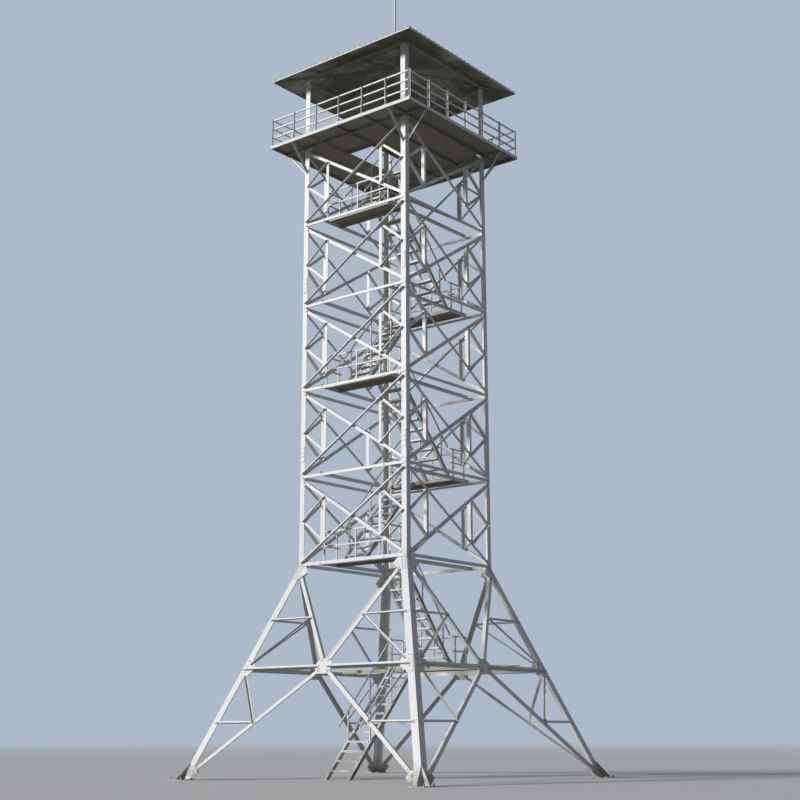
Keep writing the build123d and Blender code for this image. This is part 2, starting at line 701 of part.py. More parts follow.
def railing():
    """The front railing: posts and rails of angle, one flat panel."""
    h = DECK_HALF
    pitch = (DECK_SIDE - RAILING_POST) / RAILING_BAYS
    frame = Plane(origin=(0, -h, 0), x_dir=(1, 0, 0), z_dir=(0, -1, 0))
    post = angle_section(RAILING_POST, RAILING_T, -RAILING_POST)
    solids = []
    for bay in range(RAILING_BAYS):
        u = -h + RAILING_POST / 2 + bay * pitch
        solids.append(bar(frame, (u, DECK_Z), (u, DECK_Z + RAILING_HEIGHT), post))
    rail = angle_section(RAILING_RAIL, RAILING_T, -RAILING_POST, outwards=False)
    rail_end = h - RAILING_POST - RAILING_RAIL
    for step in range(1, RAILING_RAILS + 1):
        w = DECK_Z + RAILING_HEIGHT * step / RAILING_RAILS - RAILING_RAIL / 2
        solids.append(bar(frame, (-h + RAILING_T, w), (rail_end, w), rail))
    return fused(solids)


def roof_slope():
    """The front sheet of the roof, mitred at its hips."""
    h = ROOF_HALF
    section = [(-h, EAVE_Z), (0, APEX_Z), (0, APEX_Z + ROOF_LIFT), (-h, EAVE_Z + ROOF_LIFT)]
    slab = prism([(-h, y, z) for y, z in section], (2 * h, 0, 0))
    sector = prism([(-h, -h, 0), (h, -h, 0), (0, 0, 0)], (0, 0, FAR * 2))
    return kept(slab, sector)


def roof_frame():
    """Rafters, hips and eave angles under the sheets."""
    frame = Plane(origin=(0, -ROOF_HALF, EAVE_Z), x_dir=(1, 0, 0), z_dir=(0, -ROOF_PITCH_SIN, ROOF_PITCH_COS))
    slope_length = ROOF_HALF / ROOF_PITCH_COS
    rafter = angle_section(RAFTER, RAFTER_T, 0, outwards=False)
    eave_low = EAVE_Z - EAVE_ANGLE
    eave_section = [(-ROOF_HALF, EAVE_Z), (-ROOF_HALF, eave_low), (-ROOF_HALF + RAFTER_T, eave_low),
                    (-ROOF_HALF + RAFTER_T, EAVE_Z)]
    eave = prism([(-ROOF_HALF, y, z) for y, z in eave_section], (2 * ROOF_HALF - RAFTER_T, 0, 0))
    hip_plane = Plane(origin=(0, 0, APEX_Z), x_dir=(-1, -1, 0), z_dir=(-1, 1, 0))
    hip_run = ROOF_HALF * 2 ** 0.5
    slope = ROOF_HALF * ROOF_PITCH_TAN / hip_run
    edge = RAFTER_T / 2 / 2 ** 0.5 * ROOF_PITCH_TAN
    near, far = CAP_SIDE / 2, hip_run - HIP_FOOT_GAP
    outline = [(near, -slope * near - edge), (far, -slope * far - edge),
               (far, -slope * far - edge - RAFTER), (near, -slope * near - edge - RAFTER)]
    hip = plate(hip_plane, outline, -RAFTER_T / 2, RAFTER_T / 2)
    solids = []
    for turn in range(4):
        for share in (-0.5, 0.0, 0.5):
            start = (share * ROOF_HALF, EAVE_ANGLE)
            end = (share * ROOF_HALF, slope_length * (1 - abs(share)) - RAFTER_TOP_GAP)
            solids.append(turned(bar(frame, start, end, rafter), turn))
        solids.append(turned(eave, turn))
        solids.append(turned(hip, turn))
    return solids


def roof_ring():
    """The angle across the front that ties the tops of the legs and carries the rafters."""
    w = LEG_TOP_Z - ROOF_RING_ANGLE / 2
    return bar(SHAFT_FACE, (-SHAFT_HALF, w), (SHAFT_HALF, w), angle_section(ROOF_RING_ANGLE, ROOF_RING_T, 0))


def roof_cap():
    """A shallow square cap over the hips at the apex."""
    half = CAP_SIDE / 2
    base = APEX_Z + ROOF_LIFT
    z = base - half * ROOF_PITCH_TAN
    low = [(-half, -half, z), (half, -half, z), (half, half, z), (-half, half, z)]
    outer = Solid.make_loft([Wire.make_polygon([(x, y, z + CAP_T) for x, y, z in low], close=True),
                             Vertex(0, 0, base + CAP_T)])
    inner = Solid.make_loft([Wire.make_polygon(low, close=True), Vertex(0, 0, base)])
    skirt = prism(low, (0, 0, CAP_T))
    return cut(fused([outer, skirt]), inner)


def lightning_rod(seat):
    """The rod on the apex, seated on the solids given: collar, tube and tapered tip."""
    base = APEX_Z + ROOF_LIFT + CAP_T
    collar_low = base - ROD_COLLAR_R * ROOF_PITCH_TAN
    collar = Pos(0, 0, collar_low + ROD_COLLAR_H / 2) * Cylinder(ROD_COLLAR_R, ROD_COLLAR_H)
    tube = Pos(0, 0, base + ROD_HEIGHT / 2) * Cylinder(ROD_R, ROD_HEIGHT)
    tip = Pos(0, 0, base + ROD_HEIGHT + ROD_TIP_HEIGHT / 2) * Cone(ROD_TIP_R, ROD_POINT_R, ROD_TIP_HEIGHT)
    return cut(fused([collar.solid(), tube.solid(), tip.solid()]), *seat)


def build():
    """Every sub-part of the tower by name, each a list of solids."""
    parts = {}
    tops = landing_levels()
    front_left_base, front_left_shaft = base_leg(), shaft_leg()
    front_left_foot = foot()
    for turn, corner in enumerate(CORNERS):
        parts[f"foot_{corner}"] = [turned(front_left_foot, turn)]
        parts[f"base_leg_{corner}"] = [turned(front_left_base, turn)]
        parts[f"shaft_leg_{corner}"] = [turned(front_left_shaft, turn)]
    bracing, rail, slope = base_bracing(), railing(), roof_slope()
    near, far = shaft_bracing(far_side=False), shaft_bracing(far_side=True)
    lattices = (near, near, far, far)
    for turn, face in enumerate(FACES):
        parts[f"base_bracing_{face}"] = [turned(solid, turn) for solid in bracing]
        parts[f"shaft_bracing_{face}"] = [turned(lattices[turn], turn)]
        parts[f"railing_{face}"] = [turned(rail, turn)]
        parts[f"roof_{face}"] = [turned(slope, turn)]
    parts["base_gussets"] = [turned(solid, turn) for turn in range(4) for solid in base_gussets()]
    parts["knee_braces"] = [turned(solid, turn) for turn in range(4) for solid in knee_braces()]
    parts["landing_rails"] = []
    parts["side_beams"] = []
    for index, top in enumerate(tops):
        parts["side_beams"] += side_beams(index, top)
        parts[f"landing_{index + 1}"] = [landing(index, top)]
        parts["landing_rails"] += landing_rail(index, top)
    for index in range(len(tops) + 1):
        parts[f"flight_{index + 1}"] = flight(index, tops)
        parts[f"treads_{index + 1}"] = treads(index, tops)
    parts["deck_beams"] = deck_beams()
    parts["deck_floor"] = deck_floor()
    parts["roof_frame"] = roof_frame()
    parts["roof_ring"] = [turned(roof_ring(), turn) for turn in range(4)]
    cap = roof_cap()
    slopes = [turned(slope, turn) for turn in range(4)]
    parts["roof_cap"] = [cap]
    parts["lightning_rod"] = [lightning_rod([cap, *slopes])]
    return parts


os.makedirs("parts", exist_ok=True)
for name, shapes in build().items():
    solids = [solid for shape in shapes for solid in shape.solids()]
    export_step(Compound(children=solids) if len(solids) > 1 else solids[0], f"parts/{name}.step")
    print(f"{name}: {len(solids)} solids, {sum(solid.volume for solid in solids) / 1e9:.5f} m3")
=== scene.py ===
"""Open steel lattice lookout tower, dressed and lit for a plain studio view.

Every size is in metres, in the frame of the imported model: the origin lies on the ground at the centre
of the four feet, +Z is up and the front face looks along -Y. What stands on a face is laid out once,
on the front, and turned by quarter turns for the other three.
"""

import logging
from dataclasses import asdict, dataclass
from enum import Enum
from functools import cache
from itertools import product
from math import atan2, cos, hypot, radians, sin, sqrt, tan, tau
from typing import Any, Callable, Iterable, Optional, Sequence, Union

import bmesh
import bpy
from mathutils import Matrix, Vector


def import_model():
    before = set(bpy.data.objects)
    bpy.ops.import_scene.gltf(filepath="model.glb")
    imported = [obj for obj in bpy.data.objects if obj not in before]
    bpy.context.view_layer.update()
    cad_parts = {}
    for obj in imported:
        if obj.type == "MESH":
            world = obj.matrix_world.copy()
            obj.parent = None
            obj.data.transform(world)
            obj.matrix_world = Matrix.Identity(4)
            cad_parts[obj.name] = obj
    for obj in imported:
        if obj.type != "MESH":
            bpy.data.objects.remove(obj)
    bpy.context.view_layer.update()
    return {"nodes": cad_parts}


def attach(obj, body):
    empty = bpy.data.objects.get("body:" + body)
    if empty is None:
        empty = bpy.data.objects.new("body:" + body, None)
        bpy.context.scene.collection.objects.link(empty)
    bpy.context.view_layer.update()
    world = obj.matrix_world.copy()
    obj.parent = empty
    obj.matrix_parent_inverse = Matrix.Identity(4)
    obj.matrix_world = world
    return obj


ROOT_BODY = "root"
TURNS = range(4)
SIDES = (-1, 1)
UP = Vector((0.0, 0.0, 1.0))
LOG = logging.getLogger("lookout_tower")

Colour = tuple[float, float, float]
Spot = tuple[Vector, Vector]
Line = tuple[Vector, Vector]
Bar = tuple[Vector, Vector, Vector]
Operand = Union["Signal", float, int]


class Slot(Enum):
    """Names of the material slots."""

    TOWER = "tower_steel"
    STAIR = "stair_steel"
    TREAD = "tread_plate"
    ROOF = "roof_sheet"


def maths_method(operation: str, swapped: bool = False) -> Callable[["Signal", Operand], "Signal"]:
    """A method that adds the Math node for a Python operator, with the other value first if swapped."""
    def method(self: "Signal", other: Operand) -> "Signal":
        """The result for this value and another."""
        return self.sheet.maths(operation, *((other, self) if swapped else (self, other)))

    return method


@dataclass(frozen=True)
class Signal:
    """An output socket that takes part in Python arithmetic by adding Math nodes."""

    sheet: "NodeSheet"
    socket: bpy.types.NodeSocket

    __add__ = __radd__ = maths_method("ADD")
    __mul__ = __rmul__ = maths_method("MULTIPLY")
    __sub__, __rsub__ = maths_method("SUBTRACT"), maths_method("SUBTRACT", True)
    __truediv__ = maths_method("DIVIDE")

    def __neg__(self) -> "Signal":
        """This value with its sign changed."""
        return self.sheet.maths("MULTIPLY", self, -1.0)

    def apply(self, operation: str, *others: Operand) -> "Signal":
        """The result of any other Math operation that starts from this value."""
        return self.sheet.maths(operation, self, *others)

    def between(self, low: float, high: float) -> "Signal":
        """A smooth 0 to 1 as this value passes from low to high, which may run downwards."""
        span = {"Value": self, "From Min": low, "From Max": high}
        return self.sheet.node("ShaderNodeMapRange", span, interpolation_type="SMOOTHSTEP")


class NodeSheet:
    """A node tree under construction."""

    def __init__(self, tree: bpy.types.NodeTree) -> None:
        """Start from an empty tree."""
        self.tree = tree
        tree.nodes.clear()

    def node(self, kind: str, values: Optional[dict[Union[str, int], Any]] = None,
             output: Union[str, int] = 0, **settings: Any) -> Signal:
        """Add one node.

        Args:
            kind: The node's type.
            values: Numbers, opaque colours or signals for its inputs, by name or index.
            output: The output socket that is handed on.
            settings: Properties of the node, set before its sockets.

        Returns:
            The chosen output, or the node's first input where it has no output.
        """
        made = self.tree.nodes.new(kind)
        for key, value in settings.items():
            setattr(made, key, value)
        for key, value in (values or {}).items():
            for one in value if isinstance(value, list) else [value]:
                if isinstance(one, Signal):
                    self.tree.links.new(one.socket, made.inputs[key])
                else:
                    opaque = made.inputs[key].type == "RGBA"
                    made.inputs[key].default_value = (*one, 1.0) if opaque else one
        return Signal(self, made.outputs[output] if made.outputs else made.inputs[0])

    def maths(self, operation: str, *operands: Operand) -> Signal:
        """A Math node on one, two or three values."""
        return self.node("ShaderNodeMath", dict(enumerate(operands)), operation=operation)

    def blend(self, share: Operand, first: Any, second: Any) -> Signal:
        """Two colours mixed by a share of the second."""
        return self.node("ShaderNodeMix", {0: share, 6: first, 7: second}, 2, data_type="RGBA")

    def noise(self, place: Signal, scale: float, detail: float, roughness: float = 0.5) -> Signal:
        """A cloud noise from 0 to 1."""
        return self.node("ShaderNodeTexNoise", {
            "Vector": place, "Scale": scale, "Detail": detail, "Roughness": roughness})

    def axes(self, vector: Signal) -> tuple[Signal, Signal, Signal]:
        """The three components of a vector."""
        parts = self.node("ShaderNodeSeparateXYZ", {"Vector": vector}).socket.node
        return tuple(Signal(self, parts.outputs[i]) for i in range(3))


@dataclass(frozen=True)
class Finish:
    """A finish whose material is built once, from the shader that its kind gives it."""

    name: str

    @cache
    def material(self) -> bpy.types.Material:
        """Build the material.

        Returns:
            A node material that reads Object coordinates, the same one on each call.
        """
        made = bpy.data.materials.new(self.name)
        made.use_nodes = True
        sheet = NodeSheet(made.node_tree)
        shader = self.shader(sheet, sheet.node("ShaderNodeTexCoord", output="Object"))
        sheet.node("ShaderNodeOutputMaterial", {"Surface": shader})
        return made

    def shader(self, sheet: NodeSheet, place: Signal) -> Signal:
        """The shader at a place in Object coordinates."""
        raise NotImplementedError

    @staticmethod
    def coat(sheet: NodeSheet, bump: dict[str, Any], values: dict[str, Any]) -> Signal:
        """A Principled shader on a bumped surface."""
        normal = sheet.node("ShaderNodeBump", bump)
        return sheet.node("ShaderNodeBsdfPrincipled", {"Normal": normal, **values})


@dataclass(frozen=True)
class SteelFinish(Finish):
    """Galvanised steel that has stood outdoors: spangle, drip streaks of dirt, a little rust, and painted
    shade that darkens the surfaces facing down.
    """

    bright: Colour = (0.80, 0.81, 0.82)
    dull: Colour = (0.66, 0.67, 0.68)
    # Colour of the dirt in drip streaks and of the painted shade on surfaces that face down.
    grime: Colour = (0.20, 0.19, 0.165)
    rust: Colour = (0.19, 0.085, 0.04)
    mud: Colour = (0.30, 0.24, 0.17)
    roughness: float = 0.52
    metallic: float = 0.08
    specular: float = 0.3
    cloud_scale: float = 0.8
    patch_scale: float = 4.5
    drip_scale: tuple[float, float, float] = (16.0, 16.0, 1.1)
    grain_scale: float = 160.0
    speck_scale: float = 26.0
    spangle_scale: float = 55.0
    spangle_depth: float = 0.35
    streak_share: float = 0.34
    # How strongly painted shade darkens the surfaces that face down.
    under_share: float = 0.45
    rust_share: float = 0.55
    mud_height: float = 0.75
    bump_depth: float = 0.0015
    lozenge_pitch: float = 0.0
    # Reach from the axis beyond which the plain colour below replaces a dark finish's painted shade.
    unshaded_beyond: float = 0.0
    unshaded_edge: Colour = (0.74, 0.75, 0.75)

    def shader(self, sheet: NodeSheet, place: Signal) -> Signal:
        """Spangled steel with drips, painted shade on the surfaces that face down, mud near the ground and
        rust specks.
        """
        x, y, z = sheet.axes(place)
        up = sheet.axes(sheet.node("ShaderNodeNewGeometry", output="Normal"))[2]
        cell = sheet.node("ShaderNodeTexVoronoi", {"Vector": place, "Scale": self.spangle_scale}, "Color")
        spangle = sheet.node("ShaderNodeSeparateColor", {"Color": cell})
        cloud = sheet.noise(place, self.cloud_scale, 5.0, 0.6)
        patch = sheet.noise(place, self.patch_scale, 5.0, 0.62)
        stretched = sheet.node("ShaderNodeMapping", {"Vector": place, "Scale": self.drip_scale})
        drip = sheet.noise(stretched, 1.0, 4.0, 0.6)
        grain = sheet.noise(place, self.grain_scale, 2.0)

        tone = cloud * 0.8 + (spangle - 0.5) * self.spangle_depth + patch * 0.35 - 0.1
        base = sheet.blend(tone, self.dull, self.bright)
        # Beyond the reach the steel keeps its plain colour; inside it, the dark colours of the deck beams and
        # rafters are painted shade.
        if self.unshaded_beyond:
            reach = x.apply("ABSOLUTE").apply("MAXIMUM", y.apply("ABSOLUTE"))
            base = sheet.blend(reach.apply("GREATER_THAN", self.unshaded_beyond), base, self.unshaded_edge)
        streaks = drip.between(0.56, 0.78) * patch.between(0.36, 0.62) * self.streak_share
        # Painted shade: surfaces that face down are darkened; added to the drip streaks, it gives a share of
        # dirt and painted shade together.
        under = (-up).between(0.35, 0.9) * (patch * 0.5 + 0.6) * self.under_share
        soil_and_shade = (streaks + under).apply("MINIMUM", 0.9)
        splash = z.between(self.mud_height, 0.02) * patch.between(0.32, 0.66) * 0.8
        speck = sheet.noise(place, self.speck_scale, 6.0, 0.68).between(0.62, 0.7)
        rusted = speck * cloud.between(0.5, 0.66) * self.rust_share
        for share, colour in ((soil_and_shade, self.grime), (splash, self.mud), (rusted, self.rust)):
            base = sheet.blend(share, base, colour)

        rough = self.roughness + (spangle - 0.5) * 0.14 + soil_and_shade * 0.3 + splash * 0.3 + rusted * 0.35
        metal = (1 - soil_and_shade - splash - rusted).apply("MAXIMUM", 0.0) * self.metallic
        height = grain * 0.4 + spangle * 0.25 + patch * 0.6 + rusted * 0.8
        if self.lozenge_pitch:
            height = height + self.lozenges(x, y) * up.between(0.6, 0.9) * 6.0
        return self.coat(sheet, {"Strength": 0.6, "Distance": self.bump_depth, "Height": height}, {
            "Base Color": base, "Roughness": rough, "Metallic": metal, "Specular IOR Level": self.specular})

    def lozenges(self, x: Signal, y: Signal) -> Signal:
        """The raised bars of chequer plate: 1 on a bar and 0 between, leaning left and right by turns."""
        across, along = x / self.lozenge_pitch, y / self.lozenge_pitch
        column, row = across.apply("FLOOR"), along.apply("FLOOR")
        lean = (column + row).apply("FLOORED_MODULO", 2.0) * 2 - 1
        a, b = across - column - 0.5, (along - row - 0.5) * lean
        length, width = (a + b) / 0.62, (a - b) / 0.2
        return (length * length + width * width).between(1.0, 0.55)


@dataclass(frozen=True)
class RoofFinish(Finish):
    """Profiled roof sheet: weathered pale on top, painted shade as dull olive grey underneath and as dark
    edges.
    """

    top: Colour = (0.52, 0.54, 0.55)
    top_dull: Colour = (0.36, 0.37, 0.37)
    # Painted shade: a dark colour for the sheet's edges.
    edge: Colour = (0.20, 0.20, 0.19)
    # Painted shade: the dark olive grey of the underside.
    under: Colour = (0.13, 0.13, 0.10)
    under_pale: Colour = (0.60, 0.61, 0.56)
    # Colour of the run-off stains and dark lap joints, and of the painted shade along the folds of the
    # profile.
    stain: Colour = (0.11, 0.10, 0.08)
    cloud_scale: float = 1.1
    patch_scale: float = 6.0
    run_scale: float = 5.0
    worn_scale: float = 0.55
    rib_pitch: float = 0.25
    rib_line: float = 0.06
    lap_pitch: float = 1.0
    lap_line: float = 0.016
    roughness: float = 0.55
    bump_depth: float = 0.004

    def shader(self, sheet: NodeSheet, place: Signal) -> Signal:
        """Sheet whose top, edge and underside are told apart by the surface normal; the underside and the
        edges carry painted shade.
        """
        x, y, _ = sheet.axes(place)
        nx, ny, nz = sheet.axes(sheet.node("ShaderNodeNewGeometry", output="Normal"))
        sideways = nx.apply("ABSOLUTE").apply("GREATER_THAN", ny.apply("ABSOLUTE"))
        across = x + (y - x) * sideways
        cloud = sheet.noise(place, self.cloud_scale, 5.0, 0.6)
        patch = sheet.noise(place, self.patch_scale, 5.0, 0.6)
        run = sheet.noise(place, self.run_scale, 6.0, 0.7)
        worn = sheet.noise(place, self.worn_scale, 4.0, 0.6).between(0.42, 0.7)
        fold = self.groove(across, self.rib_pitch, self.rib_line)
        lap = self.groove(across, self.lap_pitch, self.lap_line)

        top = sheet.blend(cloud * 0.7 + patch * 0.4, self.top_dull, self.top)
        under = sheet.blend(worn * 0.6 + cloud * 0.35 + patch * 0.35 - 0.3, self.under, self.under_pale)
        # Painted shade along the folds, dark lap joints, then real run-off stains.
        for share in (fold * 0.35 + lap * 0.6, run.between(0.55, 0.75) * 0.55):
            under = sheet.blend(share, under, self.stain)
        # Painted shade: the underside and the edges take dark colours; the top keeps its weathered colour.
        upper, lower = nz.between(0.3, 0.6), nz.between(-0.3, -0.6)
        base = sheet.blend(upper, sheet.blend(lower, self.edge, under), top)
        height = lower * fold * 1.6 + patch * 0.12 + lap * 0.5
        rough = self.roughness + patch * 0.15 + lower * 0.15
        return self.coat(sheet, {"Strength": 0.7, "Distance": self.bump_depth, "Height": height}, {
            "Base Color": base, "Roughness": rough, "Metallic": 0.25 - lower * 0.2})

    @staticmethod
    def groove(across: Signal, pitch: float, width: float) -> Signal:
        """1 inside lines of a width that repeat at a pitch, 0 between them."""
        shifted = (across / pitch).apply("FLOORED_MODULO", 1.0) - 0.5
        half = width / pitch / 2
        return shifted.apply("ABSOLUTE").between(half * 1.4, half * 0.6)


@dataclass(frozen=True)
class FloorFinish(Finish):
    """Pale studio floor that runs out into the backdrop's colour far from the tower."""

    floor: Colour = (0.74, 0.75, 0.76)
    worn: Colour = (0.4, 0.4, 0.4)
    bounce: Colour = (0.34, 0.34, 0.34)
    backdrop: Colour = (0.42, 0.49, 0.59)
    cloud_scale: float = 0.35
    near: float = 30.0
    far: float = 150.0

    def shader(self, sheet: NodeSheet, place: Signal) -> Signal:
        """A matt floor; rays that light the tower see it darker and without the backdrop."""
        reach = sheet.node("ShaderNodeVectorMath", {0: place}, "Value", operation="LENGTH")
        cloud = sheet.noise(place, self.cloud_scale, 5.0, 0.55)
        seen = seen_rays(sheet)
        tone = sheet.blend(seen, self.bounce, sheet.blend(cloud * 0.08, self.floor, self.worn))
        matt = sheet.node("ShaderNodeBsdfPrincipled", {"Base Color": tone, "Roughness": 0.85})
        glow = sheet.node("ShaderNodeEmission", {"Color": self.backdrop, "Strength": 1.0})
        share = reach.between(self.near, self.far) * seen
        return sheet.node("ShaderNodeMixShader", {0: share, 1: matt, 2: glow})


def seen_rays(sheet: NodeSheet) -> Signal:
    """1 for rays from the camera, a gloss or a clear body, 0 for the rays that light things."""
    path = sheet.node("ShaderNodeLightPath").socket.node
    camera, glossy, clear = (Signal(sheet, path.outputs[name])
                             for name in ("Is Camera Ray", "Is Glossy Ray", "Is Transmission Ray"))
    return camera.apply("MAXIMUM", glossy).apply("MAXIMUM", clear)


# Painted shade: dark olive colours standing in for the shade under the deck and the roof, for the deck beams
# and rafters.
OLIVE_SHADE = dict(bright=(0.44, 0.44, 0.37), dull=(0.27, 0.27, 0.22), metallic=0.06,
             grime=(0.11, 0.105, 0.08), roughness=0.6)


class Paint(Enum):
    """Finishes that the tower's pieces share."""

    TOWER = SteelFinish("tower_steel")
    STAIR = SteelFinish(
        "stair_steel", bright=(0.79, 0.80, 0.80), dull=(0.64, 0.65, 0.65), under_share=0.6)
    TREAD = SteelFinish(
        "tread_plate", bright=(0.76, 0.76, 0.75), dull=(0.60, 0.60, 0.59), under_share=0.75,
        lozenge_pitch=0.036)
    # Darker ochre plate for the deck floor and landings: part brown staining, part painted shade for their
    # undersides.
    FLOOR_PLATE = SteelFinish(
        "floor_plate", bright=(0.58, 0.57, 0.49), dull=(0.34, 0.33, 0.27), grime=(0.20, 0.165, 0.11),
        metallic=0.06, roughness=0.6, lozenge_pitch=0.036, under_share=0.75, rust_share=0.8)
    DECK_BEAM = SteelFinish("deck_beam", under_share=0.5, unshaded_beyond=3.152, **OLIVE_SHADE)
    RAFTER = SteelFinish("rafter", under_share=0.4, unshaded_beyond=3.136, **OLIVE_SHADE)
    ROOF = RoofFinish("roof_sheet")
    BOLT = SteelFinish(
        "bolt_zinc", bright=(0.66, 0.66, 0.64), dull=(0.46, 0.46, 0.45), metallic=0.3, roughness=0.42,
        rust_share=0.8)
    WELD = SteelFinish(
        "weld_bead", bright=(0.60, 0.60, 0.59), dull=(0.42, 0.42, 0.41), metallic=0.2, roughness=0.5,
        spangle_scale=140.0)

    def material(self) -> bpy.types.Material:
        """The finish's material."""
        return self.value.material()


@dataclass(frozen=True)
class FacePlane:
    """The frame that one of the four like faces is drawn on: u right, w up the face, d outwards."""

    distance: float
    lean: float = 0.0

    def point(self, u: float, w: float, d: float, turn: int) -> Vector:
        """A point of the face, turned about the tower's axis by quarter turns."""
        spot = Vector((u, w * sin(self.lean) - d * cos(self.lean) - self.distance,
                       w * cos(self.lean) + d * sin(self.lean)))
        return turned(spot, turn)

    def outwards(self, turn: int) -> Vector:
        """The face's outward direction after quarter turns."""
        return turned(Vector((0.0, -cos(self.lean), sin(self.lean))), turn)

    def spot(self, u: float, w: float, d: float, turn: int) -> Spot:
        """A point of the face with the face's outward direction."""
        return self.point(u, w, d, turn), self.outwards(turn)


def turned(spot: Vector, turn: int) -> Vector:
    """A vector turned about Z by quarter turns."""
    return Matrix.Rotation(radians(90.0 * turn), 3, "Z") @ spot


def linked(name: str, data: bpy.types.ID) -> bpy.types.Object:
    """A new object of a mesh, a lamp or a camera, in the scene."""
    made = bpy.data.objects.new(name, data)
    bpy.context.scene.collection.objects.link(made)
    return made


def row(start: Vector, end: Vector, count: int, axis: Vector) -> list[Spot]:
    """Like fasteners at even steps from start to end."""
    return [(start.lerp(end, step / (count - 1)), axis) for step in range(count)]


class Repeater(NodeSheet):
    """A Geometry Nodes tree under construction, with named inputs for its sizes."""

    def __init__(self, name: str, sizes: dict[str, float]) -> None:
        """Make the tree with a geometry input, one float input for each size, and its output."""
        tree = bpy.data.node_groups.new(name, "GeometryNodeTree")
        face = tree.interface
        face.new_socket("Geometry", in_out="INPUT", socket_type="NodeSocketGeometry")
        self.sizes = sizes
        self.keys = {key: face.new_socket(
            key.replace("_", " ").capitalize(), in_out="INPUT", socket_type="NodeSocketFloat").identifier
            for key in sizes}
        face.new_socket("Geometry", in_out="OUTPUT", socket_type="NodeSocketGeometry")
        super().__init__(tree)
        self.inlet = self.node("NodeGroupInput")

    def size(self, name: str) -> Signal:
        """A named size of the tree as a signal."""
        outputs = self.inlet.socket.node.outputs
        return Signal(self, next(one for one in outputs if one.identifier == self.keys[name]))

    def layer(self, name: str, kind: str = "FLOAT_VECTOR") -> Signal:
        """A named attribute of the source mesh as a signal."""
        return self.node("GeometryNodeInputNamedAttribute", {"Name": name}, data_type=kind)

    def planted(self, shape: Signal, pose: Signal, scale: Any = (1.0, 1.0, 1.0)) -> Signal:
        """A shape on every point of the source mesh."""
        return self.node("GeometryNodeInstanceOnPoints", {
            "Points": self.inlet, "Instance": shape, "Rotation": pose, "Scale": scale})

    def close(self, shape: Signal, material: bpy.types.Material) -> None:
        """End the tree: instances are made real and get their material."""
        real = self.node("GeometryNodeRealizeInstances", {"Geometry": shape})
        dressed = self.node("GeometryNodeSetMaterial", {"Geometry": real, "Material": material})
        self.node("NodeGroupOutput", {"Geometry": dressed})

    def run(self, name: str, source: bpy.types.Mesh) -> bpy.types.Object:
        """Evaluate the tree on a mesh.

        Args:
            name: Name of the piece.
            source: Its points or lines, removed afterwards.

        Returns:
            A plain mesh object with no modifier.
        """
        carrier = linked(f"{name}_source", source)
        modifier = carrier.modifiers.new("repeat", "NODES")
        modifier.node_group = self.tree
        for key, value in self.sizes.items():
            modifier[self.keys[key]] = value
        bpy.context.view_layer.update()
        shape = bpy.data.meshes.new_from_object(
            carrier.evaluated_get(bpy.context.evaluated_depsgraph_get()))
        carrier.modifiers.remove(modifier)
        bpy.data.objects.remove(carrier)
        bpy.data.meshes.remove(source)
        shape.name = name
        return linked(name, shape)


def register(piece: bpy.types.Object, slot: Slot) -> None:
    """Let a finished piece ride on the tower and log its count of faces."""
    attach(piece, ROOT_BODY)
    LOG.info("%s: %d faces", piece.name, len(piece.data.polygons))


def marked(points: Iterable[Vector], layers: dict[str, Sequence[Any]],
           lines: Sequence[tuple[int, int]] = ()) -> bpy.types.Mesh:
    """A mesh of points, with a named attribute for each layer of vectors or numbers."""
    made = bpy.data.meshes.new("places")
    made.from_pydata([tuple(point) for point in points], list(lines), [])
    for key, values in layers.items():
        kind, entry = ("FLOAT", "value") if isinstance(values[0], float) else ("FLOAT_VECTOR", "vector")
        for item, value in zip(made.attributes.new(key, kind, "POINT").data, values):
            setattr(item, entry, value)
    return made


class Fitting:
    """A small form that a tree repeats over points or lines, with the form's sizes as named inputs."""

    def source(self, places: Any) -> bpy.types.Mesh:
        """The mesh that the tree runs on."""
        raise NotImplementedError

    def form(self, work: Repeater) -> Signal:
        """The geometry that the tree hands on."""
        raise NotImplementedError

    def make(self, name: str, places: Any, paint: Paint, slot: Slot) -> None:
        """Make a piece.

        Args:
            name: Name of the piece.
            places: The spots, bars or lines that it goes on.
            paint: Its finish.
            slot: Not used; only passed on to register, which ignores it.
        """
        work = Repeater(f"{name}_tree", asdict(self))
        work.close(self.form(work), paint.material())
        register(work.run(name, self.source(places)), slot)


